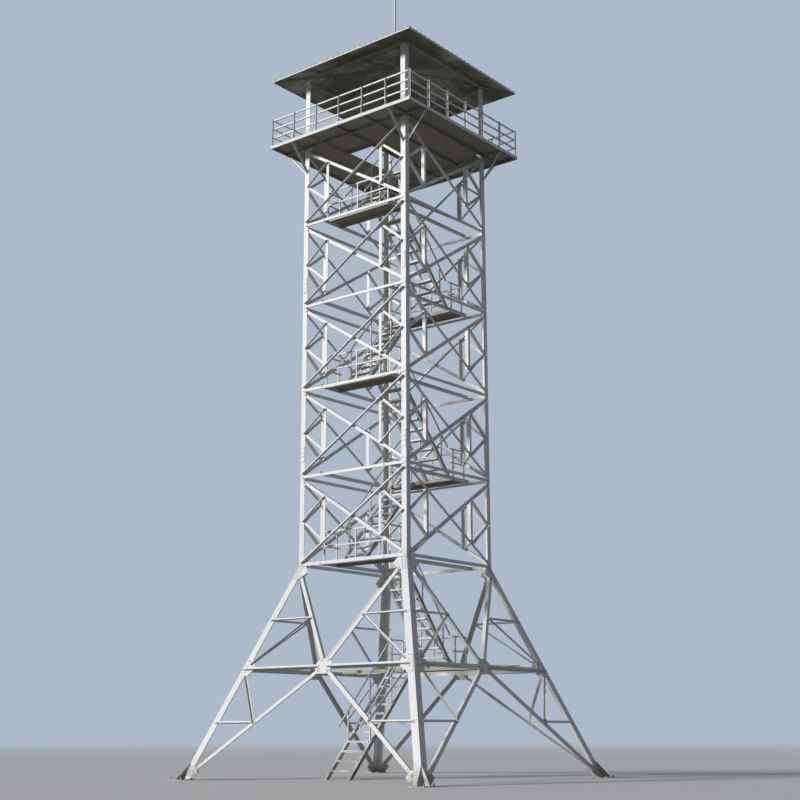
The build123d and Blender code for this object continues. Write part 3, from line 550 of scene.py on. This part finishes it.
@dataclass(frozen=True)
class BoltStyle(Fitting):
    """A hexagon head on a round washer, with the bolt's end standing out where it carries a nut."""

    across: float = 0.036
    head: float = 0.015
    washer: float = 0.023
    washer_t: float = 0.004
    stub_r: float = 0.0
    stub: float = 0.0
    overlap: float = 0.0005
    seed: float = 7.0

    def source(self, places: Sequence[Spot]) -> bpy.types.Mesh:
        """A point for each bolt, with the way that its head looks."""
        return marked([place for place, _ in places], {"axis": [axis for _, axis in places]})

    def form(self, work: Repeater) -> Signal:
        """The bolt on every point, aimed along its axis and rolled at random."""
        seat = work.size("washer_t") - work.size("overlap")
        shapes = [self.disc(work, 12, work.size("washer"), "washer_t", 0.0),
                  self.disc(work, 6, work.size("across") / sqrt(3.0), "head", seat)]
        if self.stub:
            over = seat + work.size("head") - work.size("overlap")
            shapes.append(self.disc(work, 10, work.size("stub_r"), "stub", over))
        bolt = work.node("GeometryNodeJoinGeometry", {"Geometry": shapes})
        aim = work.node("FunctionNodeAlignRotationToVector", {"Vector": work.layer("axis")}, axis="Z")
        spin = work.node("FunctionNodeRandomValue", {2: 0.0, 3: tau, "Seed": work.size("seed")}, 1)
        roll = work.node("FunctionNodeAxisAngleToRotation", {"Axis": tuple(UP), "Angle": spin})
        turns = {"Rotation": aim, "Rotate By": roll}
        pose = work.node("FunctionNodeRotateRotation", turns, rotation_space="LOCAL")
        return work.planted(bolt, pose)

    @staticmethod
    def disc(work: Repeater, sides: int, radius: Signal, depth: str, seat: Operand) -> Signal:
        """A short prism of a named depth whose foot stands at the seat height."""
        values = {"Vertices": sides, "Radius": radius, "Depth": work.size(depth)}
        prism = work.node("GeometryNodeMeshCylinder", values, fill_type="NGON")
        rise = work.node("ShaderNodeCombineXYZ", {"Z": work.size(depth) * 0.5 + seat})
        return work.node("GeometryNodeTransform", {"Geometry": prism, "Translation": rise})


@dataclass(frozen=True)
class Section(Fitting):
    """A bar of trapezoid section that follows straight lines, its foot on the lines."""

    foot: float
    crown: float
    height: float
    sink: float = 0.0

    def source(self, places: Sequence[Bar]) -> bpy.types.Mesh:
        """A point at the middle of each bar, with its directions and its length."""
        runs = [end - start for start, end, _ in places]
        return marked([(start + end) / 2 for start, end, _ in places],
                      {"ahead": [run.normalized() for run in runs],
                       "out": [out.normalized() for *_, out in places],
                       "span": [run.length for run in runs]})

    def form(self, work: Repeater) -> Signal:
        """A cube shaped to the section, stretched to each bar's length."""
        foot, crown, height, sink = (work.size(name) for name in work.sizes)
        cube = work.node("GeometryNodeMeshCube", {"Size": (1.0, 1.0, 1.0)})
        x, y, z = work.axes(work.node("GeometryNodeInputPosition"))
        level = z + 0.5
        width = foot + (crown - foot) * level
        shaped = work.node("ShaderNodeCombineXYZ", {
            "X": x, "Y": y * width, "Z": level * (height + sink) - sink})
        bar = work.node("GeometryNodeSetPosition", {"Geometry": cube, "Position": shaped})
        pose = work.node("FunctionNodeAxesToRotation", {0: work.layer("out"), 1: work.layer("ahead")},
                         primary_axis="Z", secondary_axis="X")
        scale = work.node("ShaderNodeCombineXYZ", {"X": work.layer("span", "FLOAT"), "Y": 1.0, "Z": 1.0})
        return work.planted(bar, pose, scale)


@dataclass(frozen=True)
class WeldBead(Fitting):
    """A rippled weld bead along straight joints."""

    radius: float = 0.009
    ripple: float = 0.02
    seed: float = 3.0
    swell_low: float = 0.75
    swell_high: float = 1.2

    def source(self, places: Sequence[Line]) -> bpy.types.Mesh:
        """A line for each joint."""
        return marked([end for joint in places for end in joint], {},
                      [(2 * i, 2 * i + 1) for i in range(len(places))])

    def form(self, work: Repeater) -> Signal:
        """A round bead of uneven radius along each line."""
        curve = work.node("GeometryNodeMeshToCurve", {"Mesh": work.inlet})
        steps = work.node("GeometryNodeResampleCurve", {"Curve": curve, "Length": work.size("ripple")},
                          mode="LENGTH")
        wobble = work.node("FunctionNodeRandomValue", {
            2: work.size("swell_low"), 3: work.size("swell_high"), "Seed": work.size("seed")}, 1)
        ring = work.node("GeometryNodeCurvePrimitiveCircle", {
            "Resolution": 6, "Radius": work.size("radius")})
        rippled = work.node("GeometryNodeSetCurveRadius", {"Curve": steps, "Radius": wobble})
        return work.node("GeometryNodeCurveToMesh", {
            "Curve": rippled, "Profile Curve": ring, "Fill Caps": True})


BOLT = BoltStyle()
SMALL_BOLT = BoltStyle(across=0.024, head=0.01, washer=0.016, washer_t=0.003)
ANCHOR_BOLT = BoltStyle(across=0.046, head=0.026, washer=0.036, washer_t=0.005, stub_r=0.015, stub=0.05)
STUD = BoltStyle(across=0.02, head=0.006, washer=0.014, washer_t=0.002)
SCREW = BoltStyle(across=0.014, head=0.007, washer=0.012, washer_t=0.002)


@dataclass(frozen=True)
class TowerPart:
    """An assembly of pieces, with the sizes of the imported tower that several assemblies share."""

    foot_half: float = 4.85
    shaft_half: float = 2.285
    ring_z: float = 3.45
    waist_z: float = 6.8
    waist_rise: float = 0.055
    panel: float = 3.0
    panels: int = 5
    beam_low: float = 21.684
    deck_z: float = 21.8


@dataclass(frozen=True)
class SplayedBase(TowerPart):
    """Bolts of the four leaning faces, their gussets and redundant members."""

    leg: float = 0.25
    gusset_t: float = 0.012
    ring_t: float = 0.01
    thin_t: float = 0.008
    node_trim: float = 0.2
    diagonal_trim: float = 0.17
    diagonal_hole: float = 0.025
    diagonal_end: float = 0.075
    hole: float = 0.03
    ring_end: float = 0.05
    strut_low: float = 0.1
    strut_high: float = 0.29
    waist_inset: float = 0.1
    waist_drop: float = 0.21
    foot_diagonal_z: float = 0.09
    gusset_low: float = 0.42
    gusset_shares: tuple[float, ...] = (0.3, 0.7)
    gusset_edge: float = 0.05
    foot_edge: float = 0.07
    ring_edge: float = 0.11
    ring_gusset: float = 0.62
    waist_gusset: float = 0.44
    gauge: float = 0.03
    pitch: float = 0.065

    @property
    def spread(self) -> float:
        """How much further out the feet stand than the waist."""
        return self.foot_half - self.shaft_half

    @property
    def plane(self) -> FacePlane:
        """The leaning face."""
        return FacePlane(self.foot_half, atan2(self.spread, self.waist_z))

    @property
    def slope_length(self) -> float:
        """Length of the face from the ground to the waist."""
        return hypot(self.spread, self.waist_z)

    def leg_u(self, w: float, share: float = 0.5) -> float:
        """Half width to a share of the leg flange's width at a height along the face."""
        heel = hypot(self.slope_length, self.spread) / self.slope_length
        return self.foot_half - w * sin(self.plane.lean) - self.leg * share * heel

    def leg_edge(self, start: Vector, end: Vector) -> Vector:
        """Where the line from start to end reaches the inner edge of the leg flange."""
        step = end - start
        inner = self.leg_u(0.0, 1.0)
        slope = sin(self.plane.lean)
        return start + step * ((inner - start.x - slope * start.y) / (step.x + slope * step.y))

    def rows(self) -> Iterable[tuple[Vector, Vector, float, int, float, float]]:
        """Rows of bolts on the bars of the right half of a face.

        Yields:
            The points that a row starts from and runs towards, the distance to its first bolt, its count
            of bolts, how far outside the leg flanges the heads sit, and how far aside the row lies.
        """
        lean = cos(self.plane.lean)
        centre = Vector((0.0, self.ring_z / lean))
        waist = Vector((self.shaft_half - self.waist_inset, self.slope_length - self.waist_drop))
        foot, ring = (Vector((self.leg_u(z / lean), z / lean)) for z in (self.foot_diagonal_z, self.ring_z))
        out = self.gusset_t
        for end in (waist, foot):
            last = self.leg_edge(centre, end)
            for aside in (-self.gauge, self.gauge):
                yield centre, end, self.diagonal_trim + self.diagonal_hole, 2, out, aside
                yield last, centre, self.diagonal_end, 2, out, aside
            middle = (centre + end) / 2
            on_leg = Vector((self.leg_u(middle.y), middle.y))
            for start, stop, offset, count in (
                    (on_leg, middle, self.hole, 2), (middle, on_leg, self.hole, 1),
                    (middle, ring, self.strut_low, 1), (ring, middle, self.strut_high, 2)):
                yield start, stop, offset, count, out + self.thin_t, 0.0
        yield centre, ring, self.node_trim + self.hole, 2, out + self.ring_t, 0.0
        yield ring, centre, self.ring_end, 3, out + self.ring_t, 0.0

    def gussets(self) -> list[tuple[float, float]]:
        """Lowest and highest bolts of a leg's gussets: the foot's, two at the ring, the waist's."""
        lean = cos(self.plane.lean)
        ring, reach = self.ring_z / lean, self.ring_gusset / 2 - self.gusset_edge
        return [(self.foot_edge, self.gusset_low / lean - self.gusset_edge),
                (ring - reach, ring - self.ring_edge), (ring + self.ring_edge, ring + reach),
                (self.slope_length - self.waist_gusset + self.hole, self.slope_length - self.gusset_edge)]

    def build(self) -> None:
        """Make the bolts of the base."""
        found, plane = [], self.plane
        for turn, side in product(TURNS, SIDES):
            for start, end, offset, count, depth, aside in self.rows():
                step = (end - start).normalized()
                shift = Vector((-step.y, step.x)) * aside
                for index in range(count):
                    at = start + step * (offset + index * self.pitch) + shift
                    found.append(plane.spot(side * at.x, at.y, depth, turn))
            for (low, high), share in product(self.gussets(), self.gusset_shares):
                ends = (plane.point(side * self.leg_u(w, share), w, self.gusset_t, turn)
                        for w in (low, high))
                found += row(*ends, max(2, round((high - low) / self.pitch)), plane.outwards(turn))
        BOLT.make("base_bolts", found, Paint.BOLT, Slot.TOWER)


@dataclass(frozen=True)
class Shaft(TowerPart):
    """Bolts and leg splices of the upright lattice."""

    leg: float = 0.2
    plate_t: float = 0.008
    setback: float = 0.13
    gauge: float = 0.03
    end_bolts: tuple[float, ...] = (0.03, 0.09)
    k_share: float = 0.45
    k_bolt: float = 0.068
    k_t: float = 0.006
    splice: Section = Section(0.15, 0.15, 0.012)
    splice_panels: tuple[int, ...] = (1, 3)
    splice_rise: float = 0.78
    splice_length: float = 0.56
    splice_gauge: float = 0.042
    splice_hole: float = 0.045
    splice_rows: int = 4

    @property
    def plane(self) -> FacePlane:
        """The upright face."""
        return FacePlane(self.shaft_half)

    @property
    def node(self) -> float:
        """Half width to the middle of the leg flanges."""
        return self.shaft_half - self.leg / 2

    def joint_spots(self) -> list[Spot]:
        """Bolts where bars meet legs and each other."""
        found, node = [], self.node
        for index in range(self.panels):
            low = self.waist_z + index * self.panel
            high = min(low + self.panel, self.beam_low)
            foot, head, middle = low + self.setback, high - self.setback, (low + high) / 2
            step = Vector((node * 2, head - foot)).normalized()
            level = low + self.waist_rise if index == 0 else low
            rise = (middle - foot) * (1 - self.k_share)
            spots = [(0.0, middle, self.plate_t)]
            for side in SIDES:
                for offset in self.end_bolts:
                    u = side * (node - step.x * offset)
                    spots += [(u, foot + step.y * offset, self.plate_t),
                              (u, head - step.y * offset, self.plate_t)]
                spots.append((side * (node - self.k_bolt), middle, self.k_t))
                spots += [(side * (node + way * self.gauge), level, self.plate_t) for way in SIDES]
                joint = side * ((1 - self.k_share) * node)
                spots += [(joint, middle - side * rise, self.k_t),
                          (joint, middle + side * rise, self.plate_t)]
            found += [self.plane.spot(*spot, turn) for turn in TURNS for spot in spots]
        return found

    def splices(self) -> tuple[list[Bar], list[Spot]]:
        """Cover plates over the joints of the legs, with their bolts."""
        plates, bolts = [], []
        for turn, index, side in product(TURNS, self.splice_panels, SIDES):
            out = self.plane.outwards(turn)
            middle = self.waist_z + index * self.panel + self.splice_rise
            low, high = middle - self.splice_length / 2, middle + self.splice_length / 2
            plates.append((*(self.plane.point(side * self.node, w, 0.0, turn) for w in (low, high)), out))
            for way in SIDES:
                u = side * self.node + way * self.splice_gauge
                ends = (self.plane.point(u, w, self.splice.height, turn)
                        for w in (low + self.splice_hole, high - self.splice_hole))
                bolts += row(*ends, self.splice_rows, out)
        return plates, bolts

    def build(self) -> None:
        """Make the bolts and the splices of the shaft."""
        BOLT.make("shaft_bolts", self.joint_spots(), Paint.BOLT, Slot.TOWER)
        plates, bolts = self.splices()
        self.splice.make("leg_splices", plates, Paint.TOWER, Slot.TOWER)
        BOLT.make("splice_bolts", bolts, Paint.BOLT, Slot.TOWER)


@dataclass(frozen=True)
class Feet(TowerPart):
    """Anchor bolts and welds of the four feet."""

    spacing: float = 0.44
    plate: float = 0.56
    plate_t: float = 0.025
    wing_margin: float = 0.015
    wing_t: float = 0.016
    weld_inner: float = 0.24
    weld_gap: float = 0.004
    lean: float = 0.3604

    def build(self) -> None:
        """Make the anchor bolts and the weld beads."""
        anchors = [(Vector((sx * self.foot_half + ax * self.spacing / 2,
                            sy * self.foot_half + ay * self.spacing / 2, self.plate_t)), UP)
                   for sx, sy, ax, ay in product(SIDES, repeat=4)]
        ANCHOR_BOLT.make("anchor_bolts", anchors, Paint.BOLT, Slot.TOWER)
        WeldBead().make("foot_welds", self.joints(), Paint.WELD, Slot.TOWER)

    def joints(self) -> list[Line]:
        """Where the wings and the leg flanges meet the base plates."""
        plane = FacePlane(self.foot_half, self.lean)
        low = self.plate_t / cos(self.lean)
        ends = (self.foot_half - self.weld_inner, self.foot_half + self.plate / 2 - self.wing_margin)
        depths = (0.0, -self.wing_t - self.weld_gap)
        return [tuple(plane.point(side * u, low, depth, turn) for u in ends)
                for turn, side, depth in product(TURNS, SIDES, depths)]


@dataclass(frozen=True)
class Stair(TowerPart):
    """Nosings, tread bolts and beam cleats of the switchback stair."""

    half: float = 1.4
    width: float = 1.06
    margin: float = 0.09
    landing_inner: float = 1.3
    first_foot_y: float = -1.95
    beam: float = 0.12
    riser: float = 0.3
    tread: float = 0.23
    tread_bolts: tuple[float, ...] = (0.055, 0.14)
    nosing: Section = Section(0.032, 0.024, 0.005)
    nosing_gap: float = 0.004
    lip: float = 0.06
    flange: float = 0.09
    web: float = 0.008
    cleat: Section = Section(0.085, 0.085, 0.008)
    cleat_inset: float = 0.0475
    cleat_low: float = -0.038
    cleat_high: float = 0.044
    cleat_hole: float = 0.02
    bar_t: float = 0.008

    def treads(self) -> Iterable[tuple[float, float, float, float, float]]:
        """Every tread as x low, x high, y of its nose, y of its back and top."""
        tops = [0.0] + [z + self.beam for z in
                        [self.ring_z] + [self.waist_z + i * self.panel for i in range(self.panels)]]
        outer = self.half - self.margin
        inner = outer - self.width
        for index, (foot_z, head_z) in enumerate(zip(tops, tops[1:] + [self.deck_z])):
            to_back = index % 2 == 0
            head_y = self.landing_inner if to_back else -self.landing_inner
            foot_y = self.first_foot_y if index == 0 else -head_y
            x_low, x_high = (-outer, -inner) if to_back else (inner, outer)
            steps = round((head_z - foot_z) / self.riser)
            going, rise = (head_y - foot_y) / steps, (head_z - foot_z) / steps
            for step in range(1, steps):
                nose = foot_y + (step - 0.5) * going
                back = nose + self.tread * (1 if to_back else -1)
                yield x_low + self.flange, x_high - self.flange, nose, back, foot_z + step * rise

    def build(self) -> None:
        """Make the nosings, the tread bolts and the cleats."""
        nosings, bolts = [], []
        for x_low, x_high, nose, back, top in self.treads():
            ahead = 1 if back > nose else -1
            y = nose + ahead * self.nosing.foot / 2
            nosings.append((Vector((x_low + self.nosing_gap, y, top)),
                            Vector((x_high - self.nosing_gap, y, top)), UP))
            bolts += [(Vector((x, nose + ahead * inset, top - self.lip / 2)), Vector((side, 0, 0)))
                      for inset in self.tread_bolts
                      for x, side in ((x_low - self.web, -1), (x_high + self.web, 1))]
        self.nosing.make("tread_nosings", nosings, Paint.STAIR, Slot.STAIR)
        SMALL_BOLT.make("tread_bolts", bolts, Paint.BOLT, Slot.STAIR)
        cleats, cleat_bolts = self.cleats()
        self.cleat.make("beam_cleats", cleats, Paint.TOWER, Slot.STAIR)
        SMALL_BOLT.make("cleat_bolts", cleat_bolts, Paint.BOLT, Slot.STAIR)

    def cleats(self) -> tuple[list[Bar], list[Spot]]:
        """End plates where the side beams meet the front and back faces, with their bolts."""
        plates, bolts, plane = [], [], FacePlane(self.shaft_half)
        for index, turn, side in product(range(self.panels), (0, 2), SIDES):
            level = self.waist_z + index * self.panel + (self.waist_rise if index == 0 else 0.0)
            low, high = level + self.cleat_low, level + self.cleat_high
            u, out = side * (self.half - self.cleat_inset), plane.outwards(turn)
            plates.append((*(plane.point(u, w, self.bar_t, turn) for w in (low, high)), out))
            bolts += [plane.spot(u, w, self.bar_t + self.cleat.height, turn)
                      for w in (low + self.cleat_hole, high - self.cleat_hole)]
        return plates, bolts


@dataclass(frozen=True)
class Lookout(TowerPart):
    """Bolts and shoes of the deck's railing, and the deck's hold-down studs."""

    half: float = 3.155
    railing_height: float = 1.0
    bays: int = 6
    rails: int = 3
    rail: float = 0.045
    post: float = 0.055
    post_t: float = 0.005
    post_gauge: float = 0.025
    shoe: Section = Section(0.07, 0.07, 0.008)
    shoe_hole: float = 0.02
    edge_gap: float = 0.002
    stud_pitch: float = 0.45
    stud_start: float = 0.03
    stud_inset: float = 0.12
    studs: int = 11

    def build(self) -> None:
        """Make the railing's bolts and shoes and the deck's studs."""
        plane = FacePlane(self.half)
        pitch = (self.half * 2 - self.post) / self.bays
        bolts, shoes, studs, shoe = [], [], [], self.shoe.foot
        middle = (self.deck_z + self.beam_low) / 2
        for turn in TURNS:
            for bay in range(self.bays):
                u = -self.half + self.post / 2 + bay * pitch
                left, right = max(u - shoe, self.edge_gap - self.half), u + shoe
                shoes.append((*(plane.point(end, self.deck_z, -shoe / 2, turn) for end in (left, right)), UP))
                bolts += [plane.spot(u, middle + side * self.post_gauge, 0.0, turn) for side in SIDES]
                seat = self.deck_z + self.shoe.height
                bolts.append((plane.point(right - self.shoe_hole, seat, -shoe / 2, turn), UP))
                for step in range(1, self.rails + 1):
                    w = self.deck_z + self.railing_height * step / self.rails - self.rail / 2
                    bolts.append(plane.spot(u - self.post_t, w, self.post_t - self.post, turn))
            for step in range(1, self.studs + 1):
                u = -self.half + self.stud_start + step * self.stud_pitch
                studs.append((plane.point(u, self.deck_z, -self.stud_inset, turn), UP))
        self.shoe.make("post_shoes", shoes, Paint.TOWER, Slot.TOWER)
        SMALL_BOLT.make("railing_bolts", bolts, Paint.BOLT, Slot.TOWER)
        STUD.make("deck_studs", studs, Paint.BOLT, Slot.TREAD)


@dataclass(frozen=True)
class Roof:
    """Sheet ribs, hip flashings, eave trims and screws of the pyramid roof, and the rod's screws."""

    half: float = 3.14
    eave_z: float = 24.31
    pitch: float = 14.0
    sheet_t: float = 0.02
    rib_pitch: float = 0.25
    rib_stop: float = 0.1
    rib_least: float = 0.1
    rib: Section = Section(0.07, 0.03, 0.026, 0.002)
    trim: Section = Section(0.02, 0.016, 0.006, 0.002)
    trim_inset: float = 0.012
    screw_rows: tuple[float, ...] = (0.18, 1.15, 2.1)
    screw_stop: float = 0.05
    wing: float = 0.1
    wing_foot: float = 0.002
    wing_lift: float = 0.003
    wing_crown: float = 0.008
    wing_setback: float = 0.03
    wing_lap: float = 0.01
    cap_half: float = 0.21
    cap_gap: float = 0.02
    cap_t: float = 0.012
    collar_r: float = 0.095
    collar_h: float = 0.11
    collar_share: float = 0.45
    collar_sink: float = 0.002

    def level(self, inset: float) -> float:
        """Height of the sheet's top at a distance in from the eave."""
        angle = radians(self.pitch)
        return self.eave_z + self.sheet_t / cos(angle) + inset * tan(angle)

    def on_sheet(self, x: float, y: float, turn: int) -> Vector:
        """A point on top of the front slope, turned by quarter turns."""
        return turned(Vector((x, y, self.level(self.half + y))), turn)

    def build(self) -> None:
        """Make the ribs, flashings, trims and screws."""
        angle = radians(self.pitch)
        ribs, trims, screws = [], [], []
        count = int(self.half / self.rib_pitch)
        for turn in TURNS:
            out = turned(Vector((0.0, -sin(angle), cos(angle))), turn)
            for column in range(-count, count + 1):
                x = column * self.rib_pitch
                stop = -max(abs(x) + self.rib_stop, self.cap_half + self.cap_gap)
                if stop - self.rib_least < -self.half:
                    continue
                ribs.append((self.on_sheet(x, -self.half, turn), self.on_sheet(x, stop, turn), out))
                for y in (row - self.half for row in self.screw_rows):
                    if y < stop - self.screw_stop:
                        screws.append((self.on_sheet(x, y, turn) + out * self.rib.height, out))
            trims.append((*(self.on_sheet(side * self.half, self.trim_inset - self.half, turn)
                            for side in SIDES), out))
        self.rib.make("roof_ribs", ribs, Paint.ROOF, Slot.ROOF)
        self.trim.make("eave_trims", trims, Paint.TOWER, Slot.ROOF)
        register(self.flashings(), Slot.ROOF)
        SCREW.make("roof_screws", screws, Paint.BOLT, Slot.ROOF)
        BOLT.make("rod_screws", self.rod_spots(), Paint.BOLT, Slot.ROOF)

    def flashings(self) -> bpy.types.Object:
        """Folded caps over the four hips."""
        shape = bmesh.new()
        wing, lift = self.wing, self.rib.height + self.wing_lift
        profile = ((0.0, wing, self.wing_foot), (0.0, wing, lift), (0.0, 0.0, lift + self.wing_crown),
                   (wing, 0.0, lift), (wing, 0.0, self.wing_foot), (0.0, 0.0, 0.0))
        for turn in TURNS:
            low, high = ([shape.verts.new(turned(
                Vector((x - reach, y - reach, self.level(self.half - reach) + up)), turn))
                for x, y, up in profile]
                for reach in (self.half - self.wing_setback, self.cap_half + self.wing_lap))
            for i in range(len(profile)):
                j = (i + 1) % len(profile)
                shape.faces.new((low[i], low[j], high[j], high[i]))
            shape.faces.new(low)
            shape.faces.new(high[::-1])
        bmesh.ops.recalc_face_normals(shape, faces=shape.faces)
        mesh = bpy.data.meshes.new("hip_flashings")
        shape.to_mesh(mesh)
        shape.free()
        mesh.materials.append(Paint.ROOF.material())
        return linked("hip_flashings", mesh)

    def rod_spots(self) -> list[Spot]:
        """Set screws round the rod's collar."""
        height = self.level(self.half) + self.cap_t + self.collar_h * self.collar_share
        ways = [turned(Vector((sqrt(0.5), sqrt(0.5), 0.0)), turn) for turn in TURNS]
        return [(out * (self.collar_r - self.collar_sink) + UP * height, out) for out in ways]


@dataclass(frozen=True)
class Studio:
    """Floor, backdrop, light and the camera at the photograph's viewing angle."""

    floor_reach: float = 320.0
    sun_from: tuple[float, float, float] = (-0.50, -0.79, 0.35)
    sun_strength: float = 2.85
    sun_angle: float = 9.0
    sun_away: float = 60.0
    sun_colour: Colour = (1.0, 0.975, 0.94)
    sky: Colour = (0.86, 0.93, 1.0)
    sky_strength: float = 0.14
    azimuth: float = 38.7685
    distance: float = 45.504
    sidestep: float = 0.1521
    eye_height: float = 1.4806
    tilt: float = 13.701
    roll: float = -0.133
    focal_px: float = 1359.62
    frame_px: float = 800.0
    sensor: float = 36.0
    clip: tuple[float, float] = (0.5, 1000.0)

    def build(self, finish: FloorFinish) -> None:
        """Make the stage, the lights and the camera."""
        mesh = bpy.data.meshes.new("studio_floor")
        reach = self.floor_reach
        mesh.from_pydata([(-reach, -reach, 0), (reach, -reach, 0), (reach, reach, 0), (-reach, reach, 0)],
                         [], [(0, 1, 2, 3)])
        mesh.materials.append(finish.material())
        linked("studio_floor", mesh)
        self.light(finish.backdrop)
        self.camera()

    def light(self, backdrop: Colour) -> None:
        """A broad sun from the front left and an even sky that only lighting rays see."""
        lamp = bpy.data.lights.new("key_lamp", "SUN")
        lamp.energy = self.sun_strength
        lamp.angle = radians(self.sun_angle)
        lamp.color = self.sun_colour
        holder = linked("key_lamp", lamp)
        holder.rotation_euler = (-Vector(self.sun_from)).to_track_quat("-Z", "Y").to_euler()
        holder.location = Vector(self.sun_from) * self.sun_away
        world = bpy.data.worlds.new("studio_world")
        world.use_nodes = True
        bpy.context.scene.world = world
        sheet = NodeSheet(world.node_tree)
        lit = sheet.node("ShaderNodeBackground", {"Color": self.sky, "Strength": self.sky_strength})
        seen = sheet.node("ShaderNodeBackground", {"Color": backdrop, "Strength": 1.0})
        mixed = sheet.node("ShaderNodeMixShader", {0: seen_rays(sheet), 1: lit, 2: seen})
        sheet.node("ShaderNodeOutputWorld", {"Surface": mixed})

    def camera(self) -> None:
        """The camera, placed and turned as the photograph's."""
        a, t, r = (radians(value) for value in (self.azimuth, self.tilt, self.roll))
        back, right = Vector((sin(a), -cos(a), 0)), Vector((cos(a), sin(a), 0))
        ahead = -back * cos(t) + UP * sin(t)
        above = back * sin(t) + UP * cos(t)
        x_axis, y_axis = right * cos(r) + above * sin(r), above * cos(r) - right * sin(r)
        data = bpy.data.cameras.new("photo_camera")
        data.sensor_width = self.sensor
        data.lens = self.sensor * self.focal_px / self.frame_px
        data.clip_start, data.clip_end = self.clip
        holder = linked("photo_camera", data)
        turn = Matrix((x_axis, y_axis, -ahead)).transposed()
        place = back * self.distance + right * self.sidestep + UP * self.eye_height
        holder.matrix_world = Matrix.Translation(place) @ turn.to_4x4()
        bpy.context.scene.camera = holder


def dress_nodes(nodes: dict[str, bpy.types.Object]) -> None:
    """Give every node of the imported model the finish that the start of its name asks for."""
    table = (("roof_ring", Paint.RAFTER), ("roof_frame", Paint.RAFTER), ("roof_", Paint.ROOF),
             ("deck_beams", Paint.DECK_BEAM), ("treads_", Paint.TREAD), ("landing_rails", Paint.STAIR),
             ("landing_", Paint.FLOOR_PLATE), ("deck_floor", Paint.FLOOR_PLATE),
             ("flight_", Paint.STAIR), ("", Paint.TOWER))
    for name, piece in nodes.items():
        paint = next(made for start, made in table if name.startswith(start))
        piece.data.materials.clear()
        piece.data.materials.append(paint.material())


def main() -> None:
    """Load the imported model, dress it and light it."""
    logging.basicConfig(level=logging.INFO, format="%(name)s: %(message)s")
    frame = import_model()
    bpy.context.scene.view_settings.view_transform = "Standard"
    dress_nodes(frame["nodes"])
    for part in (SplayedBase(), Shaft(), Feet(), Stair(), Lookout(), Roof()):
        part.build()
    Studio().build(FloorFinish("studio_floor"))


if __name__ == "__main__":
    main()
